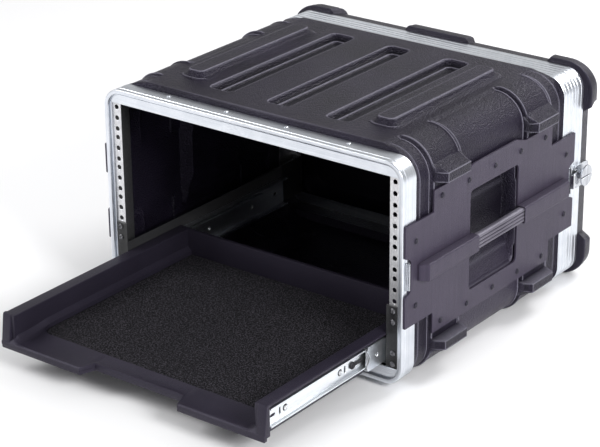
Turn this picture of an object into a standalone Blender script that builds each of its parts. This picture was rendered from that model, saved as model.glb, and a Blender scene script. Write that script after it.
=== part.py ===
"""Six-unit moulded equipment rack case with a pull-out tray and a fitted rear lid.

The case frame has its origin at the centre of the rack opening, on the plane of the front rack
rails: x to the right, y into the case, z up.  Everything hangs on the empty case_datum, which puts
the model's origin at the bottom centre of the whole object.
"""
import math

import bmesh
import bpy
from mathutils import Matrix, Vector

# ---- driving dimensions, metres -------------------------------------------------------------
GAP = 0.0003                     # clearance between pieces that touch
CORNER_STEPS = 5                 # faces round a rounded corner
LAP = 0.0005                     # how far a joined solid sinks into its neighbour
SHY = 0.0001                     # keeps a joined solid off its neighbour's plane
OVER = 0.001                     # how far a cutter runs past what it cuts

# rack opening, a 19 inch rack
RACK_UNIT = 0.04445
RACK_UNITS = 6
OPENING_WIDTH = 0.450
RAIL_SPACING = 0.407             # front rail face to rear rail face
HOLE_INSET = 0.00755             # opening edge to the hole column
HOLE_STEPS = (0.00635, 0.022225, 0.0381)
HOLE_DIAMETER = 0.0068
RAIL_THICKNESS = 0.002
RAIL_LEG = 0.034

# aluminium valances
VALANCE_SIDE = 0.0245            # opening edge to the outside, left and right
VALANCE_RISE = 0.0222            # opening edge to the outside, top and bottom
VALANCE_FRONT = 0.006            # bead in front of the rail face
VALANCE_FLANGE = 0.023           # outer flange behind the rail face
VALANCE_WALL = 0.0022
VALANCE_CORNER = 0.028
VALANCE_BREAK = 0.0015           # broken edge of the bead
LIP_THICKNESS = 0.0018
LIP_CORNER = 0.0010
BEAD_WIDTH = 0.0065

# moulded body
SHELL_WALL = 0.0038
SHELL_RISE = 0.0300              # opening edge to the top face
SHELL_CORNER = 0.045
SHOULDER_RUN = 0.004
CHANNEL_PITCH = 0.098
CHANNEL_WIDTH = 0.040
CHANNEL_END = 0.058              # rail face to the channel's end
CHANNEL_DEPTH = 0.008
CHANNEL_SLOT_WIDTH = 0.020
CHANNEL_SLOT_DEPTH = 0.0035
BOSS_X = 0.159
BOSS_WIDTH = 0.036
BOSS_END = 0.077
BOSS_HEIGHT = 0.010
BOSS_TAPER = 0.005
NEST_CLEARANCE = 0.002
BUMPER_END = 0.061
BUMPER_LENGTH = 0.066
BUMPER_REACH = 0.0185            # in front of the body's side
BUMPER_HEIGHT = 0.0135
BUMPER_DROP = 0.022              # opening edge to the bumper's inner face

# side plate, handle and its pocket
PLATE_THICKNESS = 0.0032
PLATE_END = 0.0585               # rail face to the wide part of the plate
PLATE_DROP = 0.0323              # opening edge to the plate's long edge
EAR_END = 0.005                  # ear past the rail face
EAR_HALF_HEIGHT = 0.071
NOTCH_HALF_HEIGHT = 0.0275
NOTCH_DEPTH = 0.0135
NOTCH_SLOPE = 0.004
WINDOW_LENGTH = 0.118
WINDOW_HALF_HEIGHT = 0.0715
WINDOW_CORNER = 0.007
POCKET_DEPTH = 0.0195
POCKET_DRAFT = 0.006
HOUSING_END = 0.022
HOUSING_HEIGHT = 0.024
HOUSING_REACH = 0.0140
HOUSING_CHAMFER = 0.008
HOUSING_GAP = 0.002              # housing's inner end past the window's edge
GRIP_HEIGHT = 0.0205
GRIP_THICKNESS = 0.0105
GRIP_SOCKET = 0.018
GRIP_RIDGES = 4
GRIP_GROOVE = 0.0012
RIVET_HEAD = 0.0080
RIVET_DOME = 0.0016
RIVET_TOP = 0.6                  # a rivet's flat top as a share of its head
PLATE_RIVETS = 5                 # in each long row
PLATE_RIVET_END = 0.0182         # end of the plate's wide part to the row's last rivet
PLATE_RIVET_INSET = 0.0125       # plate's long edge to the row
EAR_RIVET_Y = 0.0185
EAR_RIVET_INSET = 0.0260         # ear's long edge to its rivet
VALANCE_RIVETS = 4
VALANCE_RIVET_END = 0.0750       # opening edge to the last rivet
VALANCE_RIVET_Y = 0.0150

# tray housing, slides and tray
EAR_UNITS = 2
EAR_THICKNESS = 0.002
BRACKET_THICKNESS = 0.002
BRACKET_INSET = 0.0010           # opening edge to the bracket's outer face
BRACKET_HEIGHT = 0.060
REAR_BRACKET_LAP = 0.060
SCREW_TOP = 0.8                  # a screw's flat top as a share of its head
EAR_SCREW_HEAD = 0.0060
EAR_SCREW_RISE = 0.0018
EAR_SCREW_SHANK = 0.0044
EAR_SCREW_LENGTH = 0.010
DRAWER_SCREW_HEAD = 0.0070
DRAWER_SCREW_RISE = 0.0016
DRAWER_SCREW_SHANK = 0.0036
DRAWER_SCREW_Y = (0.034, 0.148)  # behind the drawer member's front end
SLIDE_THICKNESS = 0.0127
SLIDE_HEIGHT = 0.0436
SLIDE_SHEET = 0.0014
SLIDE_GAP = 0.0028               # height gap between nested members, where the balls run
BALL_DIAMETER = 0.0024
BALLS_PER_RUN = 6
CAGE_SHEET = 0.0006
CAGE_CLEARANCE = 0.0006
CAGE_SHARE = 0.45                # cage length as a share of the outer member's
CAGE_PLACE = 0.55                # where the shut cage lies along its member
MEMBER_STEP = 0.0032             # outer member's web to the middle one's
OUTER_START = 0.004              # behind the front rail face
SLIDE_REAR_ROOM = 0.053          # outer member's end to the rear rail face
MID_SHORTER = 0.020              # than the outer member
DRAWER_SHORTER = 0.010           # than the outer member
DRAWER_SETBACK = 0.016           # behind the tray's front post
MID_OUT = 0.043                  # how far the middle member is out at rest
MID_MORE = 0.110                 # how much further it can come
LEVER_AHEAD = 0.024              # lever's heel ahead of the middle member
LEVER_LENGTH = 0.018
LEVER_NOSE = 0.004
LEVER_SHEET = 0.0022
LEVER_SHARE = 0.9                # lever height as a share of the room between the flanges
TRAY_OUT = 0.248                 # how far the tray is out at rest
TRAY_FRONT = 0.009               # tray front ahead of the rail face when it is shut
TRAY_REAR_ROOM = 0.047           # shut tray to the rear rail face
TRAY_WALL = 0.0060
TRAY_WALL_TOP = 0.0480           # above the tray's underside
TRAY_RIM_WIDTH = 0.0100
TRAY_RIM_HEIGHT = 0.0035
TRAY_FLOOR = 0.0035
TRAY_PAN = 0.0045
TRAY_SIDE_CLEARANCE = 0.0035     # opening edge to the tray's widest point
TRAY_LIP_CLEARANCE = 0.0007      # over the valance's lower lip
POST_WIDTH = 0.0140
POST_DEPTH = 0.0060
APRON_DEPTH = 0.046
NOTCH_WIDTH = 0.149
NOTCH_RUN = 0.0220
NOTCH_FLARE = 0.006
LINER_THICKNESS = 0.003
LINER_MARGIN = 0.0145
LINER_CORNER = 0.022

# rear lid and its latches
LID_RIM = 0.023                  # the lid valance's depth
LID_DEPTH = 0.034                # moulded lid behind its valance
LID_WALL = 0.0035
LID_LEAN = 0.004                 # how far the lid's sides lean in over its depth
LID_CORNER = 0.033
LID_DOME = 0.018
LID_BACK_INSET = 0.002           # lid's back panel in from the bumpers' backs
LID_LEDGE = 0.003                # lid valance's face, wider than the bead
LID_BUMPER_REACH = 0.0125
LID_BUMPER_RISE = 0.0076
LID_BUMPER_TAPER = 0.0110
LID_BUMPER_START = 0.0025        # behind the valance
LID_BUMPER_SINK = 0.0015
LID_BUMPER_EDGE = 0.002
LID_BUMPER_ROUND = 0.006
LID_BUMPER_CORNER = 0.049
LID_BUMPER_RETURN = 0.022        # how far the bumper reaches in over the back
LID_BUMPER_SIDE_GAP = 0.092      # half height of the side that is left free
LID_BUMPER_MIDDLE = 0.052        # half width of the middle bumper
LID_BUMPER_ARM = 0.038           # from a corner bumper's end to the opening's edge
LATCH_BASE_HEIGHT = 0.034
LATCH_BASE_THICKNESS = 0.002
LATCH_DISC_RADIUS = 0.0148
LATCH_DISC_THICKNESS = 0.0022
LATCH_HUB_RADIUS = 0.0075
LATCH_HUB_HEIGHT = 0.0040
LATCH_HUB_TAPER = 0.85
LATCH_STEM = 0.5                 # stem radius as a share of the hub's
LATCH_STEM_RISE = 0.0022         # hub above the base plate
LATCH_BASE_MARGIN = 0.004        # base plate past the disc
LATCH_BASE_CORNER = 0.006
LATCH_PIN = 0.0012               # width of the fold between the wings
HOOK_HEIGHT = 0.020
HOOK_THICKNESS = 0.0018
HOOK_CLAW = 0.0018               # the claw's thickness along y
HOOK_OPEN = 7.5                  # degrees from fully latched to the rest pose, claw clear
HOOK_PIVOT = 0.0090              # hub's axis to the hook's hinge line
HOOK_LIFT = 0.0006               # hook above the base plate
KEEPER_HEIGHT = 0.038
KEEPER_LIP = 0.0030
KEEPER_SHEET = 0.0015
KEEPER_WIDTH = 0.0090
KEEPER_LIP_INSET = 0.0040        # room for the claw between lip and plate

# ---- worked out from the driving dimensions ---------------------------------------------------
OPENING_HEIGHT = RACK_UNITS * RACK_UNIT
HALF_W = OPENING_WIDTH / 2
HALF_H = OPENING_HEIGHT / 2
SIDE_X = HALF_W + VALANCE_SIDE           # outside of valance and body, left and right
VALANCE_Z = HALF_H + VALANCE_RISE
SHELL_Z = HALF_H + SHELL_RISE
MID_Y = RAIL_SPACING / 2
NECK_X = SIDE_X - VALANCE_WALL - GAP
NECK_Z = VALANCE_Z - VALANCE_WALL - GAP
NECK_CORNER = VALANCE_CORNER - VALANCE_WALL - GAP
PLATE_INNER = SIDE_X + GAP
PLATE_OUTER = PLATE_INNER + PLATE_THICKNESS
POCKET_FLOOR = SIDE_X - POCKET_DEPTH
HOUSING_OUTER = PLATE_OUTER + HOUSING_REACH
LIP_X = HALF_W + 2 * HOLE_INSET - GAP            # inner edge of the valance's lip
BRACKET_X = HALF_W - BRACKET_INSET - BRACKET_THICKNESS
OUTER_LENGTH = RAIL_SPACING - OUTER_START - SLIDE_REAR_ROOM
MID_LENGTH = OUTER_LENGTH - MID_SHORTER
DRAWER_LENGTH = OUTER_LENGTH - DRAWER_SHORTER
SLIDE_X = BRACKET_X - GAP - SLIDE_THICKNESS      # tray side face of the slides
TRAY_BOTTOM = -HALF_H + TRAY_LIP_CLEARANCE
SLIDE_Z = TRAY_BOTTOM + GAP + SLIDE_HEIGHT / 2
TRAY_HALF = HALF_W - TRAY_SIDE_CLEARANCE
TRAY_TUB = SLIDE_X - GAP
TRAY_Y = -TRAY_OUT - TRAY_FRONT
TRAY_BACK = RAIL_SPACING - TRAY_REAR_ROOM - TRAY_OUT
LID_Y = RAIL_SPACING + VALANCE_FRONT
LID_BODY_Y = LID_Y + LID_RIM
LID_BACK = LID_BODY_Y + LID_DEPTH
ORIGIN = Vector((0.0, -(TRAY_Y + LID_BACK) / 2, SHELL_Z))

PARTS = "rack_case"
CUTTERS = "cutters"


# ---- scene, collections and materials ---------------------------------------------------------
def clear_scene():
    for old in list(bpy.data.objects):
        bpy.data.objects.remove(old, do_unlink=True)


def make_collection(name):
    collection = bpy.data.collections.new(name)
    bpy.context.scene.collection.children.link(collection)
    return collection


def make_material(name, colour, roughness, metallic):
    material = bpy.data.materials.new(name)
    material.use_nodes = True
    shader = material.node_tree.nodes["Principled BSDF"]
    shader.inputs["Base Color"].default_value = (*colour, 1.0)
    shader.inputs["Roughness"].default_value = roughness
    shader.inputs["Metallic"].default_value = metallic
    material.diffuse_color = (*colour, 1.0)
    return material


clear_scene()
parts = make_collection(PARTS)
cutters = make_collection(CUTTERS)
datum = bpy.data.objects.new("case_datum", None)
datum.location = ORIGIN
parts.objects.link(datum)

MATERIALS = {
    "shell": ((0.020, 0.019, 0.024), 0.55, 0.0),
    "plate": ((0.050, 0.046, 0.058), 0.48, 0.0),
    "grip": ((0.055, 0.052, 0.062), 0.45, 0.0),
    "aluminium": ((0.80, 0.82, 0.86), 0.28, 1.0),
    "steel": ((0.70, 0.71, 0.74), 0.30, 1.0),
    "black_steel": ((0.015, 0.015, 0.017), 0.45, 0.6),
    "zinc": ((0.78, 0.80, 0.84), 0.25, 1.0),
    "tray": ((0.055, 0.050, 0.065), 0.50, 0.0),
    "liner": ((0.010, 0.010, 0.012), 0.95, 0.0),
    "lever": ((0.015, 0.015, 0.016), 0.45, 0.0),
}
MATERIALS = {name: make_material(name, *values) for name, values in MATERIALS.items()}


# ---- mesh helpers -----------------------------------------------------------------------------
def rounded_rect(half_w, half_h, radius, steps=CORNER_STEPS):
    """Points round a rectangle with round corners, counter-clockwise."""
    points = []
    centres = ((1, 1, 0), (-1, 1, 90), (-1, -1, 180), (1, -1, 270))
    for sign_x, sign_y, start in centres:
        for step in range(steps + 1):
            angle = math.radians(start + 90 * step / steps)
            points.append((sign_x * (half_w - radius) + radius * math.cos(angle),
                           sign_y * (half_h - radius) + radius * math.sin(angle)))
    return points


def shifted(points, dx, dy):
    return [(x + dx, y + dy) for x, y in points]


def circle(x, y, radius, sides=8):
    turn = 2 * math.pi / sides
    return [(x + radius * math.cos(turn * (n + 0.5)), y + radius * math.sin(turn * (n + 0.5)))
            for n in range(sides)]


def mesh_from(bm, name):
    mesh = bpy.data.meshes.new(name)
    bm.to_mesh(mesh)
    bm.free()
    return mesh


def box_bm(low, high, bm=None):
    """Add a box between two corners."""
    bm = bm or bmesh.new()
    low = Vector(low)
    high = Vector(high)
    size = high - low
    place = Matrix.Translation((low + high) / 2) @ Matrix.Diagonal((*size, 1.0))
    bmesh.ops.create_cube(bm, size=1.0, matrix=place)
    return bm


def cone_bm(bm, centre, axis, radius_low, radius_high, depth, sides=8):
    """Add a cone, or a cylinder, whose base is at centre and which runs along axis."""
    turn = Vector((0, 0, 1)).rotation_difference(Vector(axis)).to_matrix().to_4x4()
    place = Matrix.Translation(Vector(centre) + Vector(axis) * depth / 2) @ turn
    bmesh.ops.create_cone(bm, cap_ends=True, segments=sides, radius1=radius_low,
                          radius2=radius_high, depth=depth, matrix=place)
    return bm


PLANES = {        # columns: where the outline's two directions and its thickness point
    "x": Matrix(((0, 0, 1), (1, 0, 0), (0, 1, 0))),
    "y": Matrix(((1, 0, 0), (0, 0, -1), (0, 1, 0))),
    "z": Matrix(((1, 0, 0), (0, 1, 0), (0, 0, 1))),
}


def outline_mesh(name, loops, plane, start, depth):
    """Extrude flat loops (the first one outside, the others holes) from start by depth.

    The plane is the axis along the thickness: an x outline is given as (y, z) pairs,
    a y outline as (x, z) and a z outline as (x, y).
    """
    curve = bpy.data.curves.new(name, "CURVE")
    curve.dimensions = "2D"
    curve.fill_mode = "BOTH"
    curve.extrude = abs(depth) / 2
    for loop in loops:
        spline = curve.splines.new("POLY")
        spline.points.add(len(loop) - 1)
        spline.use_cyclic_u = True
        for point, (x, y) in zip(spline.points, loop):
            point.co = (x, y, 0.0, 1.0)
    outline = bpy.data.objects.new(name, curve)
    parts.objects.link(outline)
    graph = bpy.context.evaluated_depsgraph_get()
    mesh = bpy.data.meshes.new_from_object(outline.evaluated_get(graph))
    bpy.data.objects.remove(outline, do_unlink=True)
    bm = bmesh.new()
    bm.from_mesh(mesh)
    bmesh.ops.remove_doubles(bm, verts=bm.verts, dist=1e-6)
    move = {"x": (start + depth / 2, 0, 0), "y": (0, start + depth / 2, 0),
            "z": (0, 0, start + depth / 2)}[plane]
    bmesh.ops.transform(bm, matrix=PLANES[plane].to_4x4(), verts=bm.verts)
    bmesh.ops.translate(bm, vec=move, verts=bm.verts)
    bmesh.ops.recalc_face_normals(bm, faces=bm.faces)
    return mesh_from(bm, name)


def loft_bm(rings, closed):
    """Skin rounded rectangles (y, half width, half height, corner), in order along the skin."""
    bm = bmesh.new()
    loops = []
    for y, half_w, half_h, radius in rings:
        loops.append([bm.verts.new((x, y, z)) for x, z in rounded_rect(half_w, half_h, radius)])
    pairs = list(zip(loops, loops[1:]))
    if closed:
        pairs.append((loops[-1], loops[0]))
    for first, second in pairs:
        for n in range(len(first)):
            after = (n + 1) % len(first)
            bm.faces.new((first[n], first[after], second[after], second[n]))
    if not closed:
        bm.faces.new(loops[0])
        bm.faces.new(loops[-1])
    bmesh.ops.recalc_face_normals(bm, faces=bm.faces)
    return bm


def add_object(name, mesh, material, origin=(0, 0, 0), smooth=True):
    """Put a mesh given in the case frame under the datum, with its origin at a chosen point."""
    mesh.transform(Matrix.Translation(-Vector(origin)))
    mesh.materials.clear()
    mesh.materials.append(MATERIALS[material])
    if smooth:
        mesh.shade_smooth()
        mesh.set_sharp_from_angle(angle=math.radians(32))
    piece = bpy.data.objects.new(name, mesh)
    piece.location = origin
    piece.parent = datum
    parts.objects.link(piece)
    return piece


def add_cutter(name, bm):
    cutter = bpy.data.objects.new(name, mesh_from(bm, name))
    cutter.parent = datum
    cutter.hide_render = True
    cutter.display_type = "WIRE"
    cutters.objects.link(cutter)
    return cutter


def boolean(piece, cutter, operation):
    modifier = piece.modifiers.new(cutter.name, "BOOLEAN")
    modifier.operation = operation
    modifier.object = cutter
    cutter.hide_set(True)


def mirrored_mesh(piece, name):
    """The finished mesh of a right-hand piece, turned into its left-hand twin."""
    graph = bpy.context.evaluated_depsgraph_get()
    mesh = bpy.data.meshes.new_from_object(piece.evaluated_get(graph))
    mesh.name = name
    mesh.transform(Matrix.Translation(piece.location))
    mesh.transform(Matrix.Diagonal((-1, 1, 1, 1)))
    mesh.flip_normals()
    return mesh


def add_left_twin(piece, name):
    material = piece.data.materials[0].name
    origin = Vector((-piece.location.x, piece.location.y, piece.location.z))
    return add_object(name, mirrored_mesh(piece, name), material, origin)


def both_ends(y):
    """A distance behind the front rail face, and its mirror in front of the rear one."""
    return (y, RAIL_SPACING - y)


def add_mesh(bm, mesh):
    bm.from_mesh(mesh)
    bpy.data.meshes.remove(mesh)


# ---- moulded body -----------------------------------------------------------------------------
def stadium(x, half_width, y_low, y_high, steps=6):
    """A slot with round ends, from above."""
    points = []
    for centre, start in ((y_high - half_width, 0), (y_low + half_width, 180)):
        for step in range(steps + 1):
            angle = math.radians(start + 180 * step / steps)
            points.append((x + half_width * math.cos(angle), centre + half_width * math.sin(angle)))
    return points


def bumper_outline(reach_from, reach_to, low, high):
    """Section of a side bumper: a ledge whose outer corners are broken."""
    break_x = (high - low) * 0.25
    return [(reach_from, low), (reach_to - break_x / 2, low), (reach_to, low + break_x / 2),
            (reach_to, high - break_x), (reach_to - break_x, high), (reach_from, high + break_x * 2)]


def body_shell():
    """Tube with a neck at each end for the valances, ribs, nests, pockets and bumpers."""
    flange = VALANCE_FLANGE + GAP
    outer = [(GAP, NECK_X, NECK_Z, NECK_CORNER), (flange, NECK_X, NECK_Z, NECK_CORNER),
             (flange, SIDE_X, VALANCE_Z, VALANCE_CORNER),
             (flange + SHOULDER_RUN, SIDE_X, SHELL_Z, SHELL_CORNER)]
    outer += [(RAIL_SPACING - y, w, h, r) for y, w, h, r in reversed(outer)]
    wall = SHELL_WALL
    inside = [(GAP, NECK_X - wall, NECK_Z - wall, NECK_CORNER - wall),
              (flange + SHOULDER_RUN, NECK_X - wall, NECK_Z - wall, NECK_CORNER - wall),
              (flange + SHOULDER_RUN + wall, SIDE_X - wall, SHELL_Z - wall, SHELL_CORNER - wall)]
    inside += [(RAIL_SPACING - y, w, h, r) for y, w, h, r in reversed(inside)]
    bm = loft_bm(outer + list(reversed(inside)), closed=True)
    shell = add_object("body_shell", mesh_from(bm, "body_shell"), "shell")
    boolean(shell, add_cutter("shell_pads", shell_pads()), "UNION")
    boolean(shell, add_cutter("shell_cuts", shell_cuts()), "DIFFERENCE")
    return shell


def shell_pads():
    """What stands on the shell: ribs' backs, bosses, bumpers and the handle pockets' walls."""
    bm = bmesh.new()
    wall = SHELL_WALL
    lap = wall / 2
    top = SHELL_Z
    for n in (-1, 0, 1):
        outline = stadium(n * CHANNEL_PITCH, CHANNEL_WIDTH / 2 + wall, CHANNEL_END - wall,
                          RAIL_SPACING - CHANNEL_END + wall)
        depth = CHANNEL_DEPTH + CHANNEL_SLOT_DEPTH + wall - lap
        add_mesh(bm, outline_mesh("rib", [outline], "z", top - lap, -depth))
    for side in (-1, 1):
        x = side * BOSS_X
        half = BOSS_WIDTH / 2
        boss = box_bm((x - half, BOSS_END, top - lap),
                      (x + half, RAIL_SPACING - BOSS_END, top + BOSS_HEIGHT))
        crown = [v for v in boss.verts if v.co.z > top]
        for v in crown:
            v.co.x += BOSS_TAPER * (1 if v.co.x < x else -1)
            v.co.y += 2 * BOSS_TAPER * (1 if v.co.y < MID_Y else -1)
        add_mesh(bm, mesh_from(boss, "boss"))
        nest = NEST_CLEARANCE + wall
        box_bm((x - half - nest, BOSS_END - nest, -top + lap),
               (x + half + nest, RAIL_SPACING - BOSS_END + nest, -top + BOSS_HEIGHT + nest), bm)
        pocket = pocket_loft(side, wall)
        add_mesh(bm, mesh_from(pocket, "pocket_wall"))
        for y in (BUMPER_END, RAIL_SPACING - BUMPER_END - BUMPER_LENGTH):
            for up in (-1, 1):
                low = HALF_H - BUMPER_DROP
                section = bumper_outline(SIDE_X - lap, SIDE_X + BUMPER_REACH, low,
                                         low + BUMPER_HEIGHT)
                section = [(side * px, up * pz) for px, pz in section]
                add_mesh(bm, outline_mesh("bumper", [section], "y", y, BUMPER_LENGTH))
    return bm


def pocket_loft(side, wall):
    """The finger pocket's solid, tapering inwards from the side, grown by wall."""
    bm = bmesh.new()
    face = side * (SIDE_X - LAP if wall else SIDE_X + OVER)
    floor = side * (POCKET_FLOOR - wall)
    mouth = (WINDOW_LENGTH / 2 + wall, WINDOW_HALF_HEIGHT + wall)
    base = (mouth[0] - POCKET_DRAFT, mouth[1] - POCKET_DRAFT)
    loops = []
    for x, (half_l, half_h) in ((face, mouth), (floor, base)):
        corner = WINDOW_CORNER + wall
        points = shifted(rounded_rect(half_l, half_h, corner, 2), MID_Y, 0)
        loops.append([bm.verts.new((x, y, z)) for y, z in points])
    for n in range(len(loops[0])):
        after = (n + 1) % len(loops[0])
        bm.faces.new((loops[0][n], loops[0][after], loops[1][after], loops[1][n]))
    bm.faces.new(loops[0])
    bm.faces.new(loops[1])
    bmesh.ops.recalc_face_normals(bm, faces=bm.faces)
    return bm


def shell_cuts():
    """What is cut out of the shell: channels, hollow bosses, nests below and finger pockets."""
    bm = bmesh.new()
    wall = SHELL_WALL
    top = SHELL_Z
    over = OVER
    for n in (-1, 0, 1):
        x = n * CHANNEL_PITCH
        mouth = stadium(x, CHANNEL_WIDTH / 2, CHANNEL_END, RAIL_SPACING - CHANNEL_END)
        add_mesh(bm, outline_mesh("mouth", [mouth], "z", top + over, -CHANNEL_DEPTH - over))
    for side in (-1, 1):
        x = side * BOSS_X
        half = BOSS_WIDTH / 2
        inner = half - BOSS_TAPER - wall
        box_bm((x - inner, BOSS_END + 3 * BOSS_TAPER, top - wall - over),
               (x + inner, RAIL_SPACING - BOSS_END - 3 * BOSS_TAPER, top + BOSS_HEIGHT - wall), bm)
        nest = NEST_CLEARANCE
        box_bm((x - half - nest, BOSS_END - nest, -top - over),
               (x + half + nest, RAIL_SPACING - BOSS_END + nest, -top + BOSS_HEIGHT + nest), bm)
        add_mesh(bm, mesh_from(pocket_loft(side, 0), "pocket"))
    return bm


def channel_slots(shell):
    """The narrower second step in each channel's floor."""
    bm = bmesh.new()
    top = SHELL_Z - CHANNEL_DEPTH
    for n in (-1, 0, 1):
        slot = stadium(n * CHANNEL_PITCH, CHANNEL_SLOT_WIDTH / 2,
                       CHANNEL_END + CHANNEL_WIDTH / 4, RAIL_SPACING - CHANNEL_END - CHANNEL_WIDTH / 4)
        add_mesh(bm, outline_mesh("slot", [slot], "z", top + OVER, -CHANNEL_SLOT_DEPTH - OVER))
    boolean(shell, add_cutter("channel_slots", bm), "DIFFERENCE")


# ---- valances and rails -----------------------------------------------------------------------
def valance_rings():
    """Section of the front valance from the flange's end, over the bead, to the lip and back."""
    x = SIDE_X
    z = VALANCE_Z
    r = VALANCE_CORNER
    wall = VALANCE_WALL
    front = -VALANCE_FRONT
    lip = -LIP_THICKNESS
    bead = BEAD_WIDTH
    edge = VALANCE_BREAK
    inner = bead + edge
    return [(VALANCE_FLANGE, x, z, r), (front + edge, x, z, r), (front, x - edge, z - edge, r - edge),
            (front, x - bead, z - bead, r - bead), (lip, x - inner, z - inner, r - inner),
            (lip, LIP_X, HALF_H, LIP_CORNER), (0.0, LIP_X, HALF_H, LIP_CORNER),
            (0.0, x - wall, z - wall, r - wall), (VALANCE_FLANGE, x - wall, z - wall, r - wall)]


def case_valance(name, rear):
    rings = valance_rings()
    if rear:
        rings = [(RAIL_SPACING - y, w, h, r) for y, w, h, r in rings]
    bm = loft_bm(rings, closed=True)
    valance = add_object(name, mesh_from(bm, name), "aluminium")
    heads = rivet_heads(valance_rivet_places(rear))
    boolean(valance, add_cutter(name + "_rivets", heads), "UNION")
    return valance


def hole_heights():
    """Heights of the rack holes, three to each unit, from the opening's centre."""
    return [unit * RACK_UNIT + step - HALF_H for unit in range(RACK_UNITS) for step in HOLE_STEPS]


def rail_edge():
    """Outer edge of a rail: as wide as the shell's neck allows at the rail's ends."""
    radius = NECK_CORNER - SHELL_WALL
    past_bend = max(HALF_H - (NECK_Z - SHELL_WALL - radius), 0.0)
    inset = radius - math.sqrt(radius ** 2 - past_bend ** 2)
    return NECK_X - SHELL_WALL - GAP - inset


def rack_rail(name, rear):
    """Angle rail: a drilled face behind the valance's lip and a leg back along the shell."""
    edge = rail_edge()
    top = HALF_H - GAP
    face = [(HALF_W, -top), (edge, -top), (edge, top), (HALF_W, top)]
    holes = [circle(HALF_W + HOLE_INSET, z, HOLE_DIAMETER / 2) for z in hole_heights()]
    mesh = outline_mesh(name, [face] + holes, "y", GAP, RAIL_THICKNESS)
    bm = bmesh.new()
    add_mesh(bm, mesh)
    if rear:
        bmesh.ops.transform(bm, matrix=Matrix.Diagonal((1, -1, 1, 1)), verts=bm.verts)
        bmesh.ops.translate(bm, vec=(0, RAIL_SPACING, 0), verts=bm.verts)
        bmesh.ops.reverse_faces(bm, faces=bm.faces)
    rail = add_object(name + "_r", mesh_from(bm, name), "steel")
    near = GAP + RAIL_THICKNESS / 2
    far = GAP + RAIL_LEG
    if rear:
        near, far = RAIL_SPACING - far, RAIL_SPACING - near
    leg = box_bm((edge - RAIL_THICKNESS, near, -top + SHY), (edge - SHY, far, top - SHY))
    boolean(rail, add_cutter(name + "_leg", leg), "UNION")
    add_left_twin(rail, name + "_l")
    return rail


# ---- rivets and screws ------------------------------------------------------------------------
def rivet_heads(places):
    """Domed rivet heads, sunk a little into what they hold; places holds (point, axis)."""
    bm = bmesh.new()
    for point, axis in places:
        axis = Vector(axis)
        cone_bm(bm, Vector(point) - axis * LAP, axis, RIVET_HEAD / 2, RIVET_HEAD / 2 * RIVET_TOP,
                RIVET_DOME + LAP)
    return bm


def screw(name, point, axis, head, head_height, shank, shank_length):
    """Pan-head screw: its head stands on a surface at point, its shank runs back through it."""
    axis = Vector(axis)
    point = Vector(point)
    bm = bmesh.new()
    cone_bm(bm, point + axis * GAP, axis, head / 2, head / 2 * SCREW_TOP, head_height)
    piece = add_object(name, mesh_from(bm, name), "zinc", point)
    shaft = bmesh.new()
    cone_bm(shaft, point - axis * shank_length, axis, shank / 2, shank / 2,
            shank_length + GAP + head_height / 2)
    boolean(piece, add_cutter(name + "_shank", shaft), "UNION")
    return piece


def plate_rivet_places():
    """(y, z) of the rivets in a side plate: two long rows and two in each ear."""
    row_z = HALF_H - PLATE_DROP - PLATE_RIVET_INSET
    first = PLATE_END + PLATE_RIVET_END
    pitch = (RAIL_SPACING - 2 * first) / (PLATE_RIVETS - 1)
    rows = [(first + n * pitch, sign * row_z) for n in range(PLATE_RIVETS) for sign in (-1, 1)]
    ear_z = EAR_HALF_HEIGHT - EAR_RIVET_INSET
    ears = [(y, sign * ear_z) for y in both_ends(EAR_RIVET_Y) for sign in (-1, 1)]
    return rows + ears


def valance_rivet_places(rear):
    """Rivets through the valance's top and bottom flanges."""
    y = RAIL_SPACING - VALANCE_RIVET_Y if rear else VALANCE_RIVET_Y
    first = VALANCE_RIVET_END - HALF_W
    xs = [first - 2 * first * n / (VALANCE_RIVETS - 1) for n in range(VALANCE_RIVETS)]
    return [((x, y, sign * VALANCE_Z), (0, 0, sign)) for x in xs for sign in (-1, 1)]


# ---- side plate, handle and keepers -----------------------------------------------------------
def plate_outline():
    """Side plate seen from the side, as (y, z): wide middle, two ears, a notch in each end."""
    half_h = HALF_H - PLATE_DROP
    right = []
    far = RAIL_SPACING + EAR_END
    shoulder = RAIL_SPACING - PLATE_END
    right.append((shoulder, -half_h))
    right.append((shoulder, -EAR_HALF_HEIGHT))
    right.append((far, -EAR_HALF_HEIGHT))
    right.append((far, -NOTCH_HALF_HEIGHT))
    right.append((far - NOTCH_DEPTH, -NOTCH_HALF_HEIGHT + NOTCH_SLOPE))
    upper = [(y, -z) for y, z in reversed(right)]
    right = right + upper
    left = [(RAIL_SPACING - y, z) for y, z in reversed(right)]
    return right + left


def plate_depth_outline(side_y):
    """A housing seen from above, as (x, y): a bar whose outer end is chamfered."""
    inner = PLATE_OUTER - PLATE_THICKNESS / 2
    return [(inner, side_y[0]), (PLATE_OUTER, side_y[0]),
            (HOUSING_OUTER, side_y[0] + (HOUSING_CHAMFER if side_y[1] > side_y[0] else
                                         -HOUSING_CHAMFER)),
            (HOUSING_OUTER, side_y[1]), (inner, side_y[1])]


def housing_spans():
    """Outer and inner end of the front and the rear housing, along y."""
    inner = MID_Y - WINDOW_LENGTH / 2 + HOUSING_GAP
    return ((HOUSING_END, inner), (RAIL_SPACING - HOUSING_END, RAIL_SPACING - inner))


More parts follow.
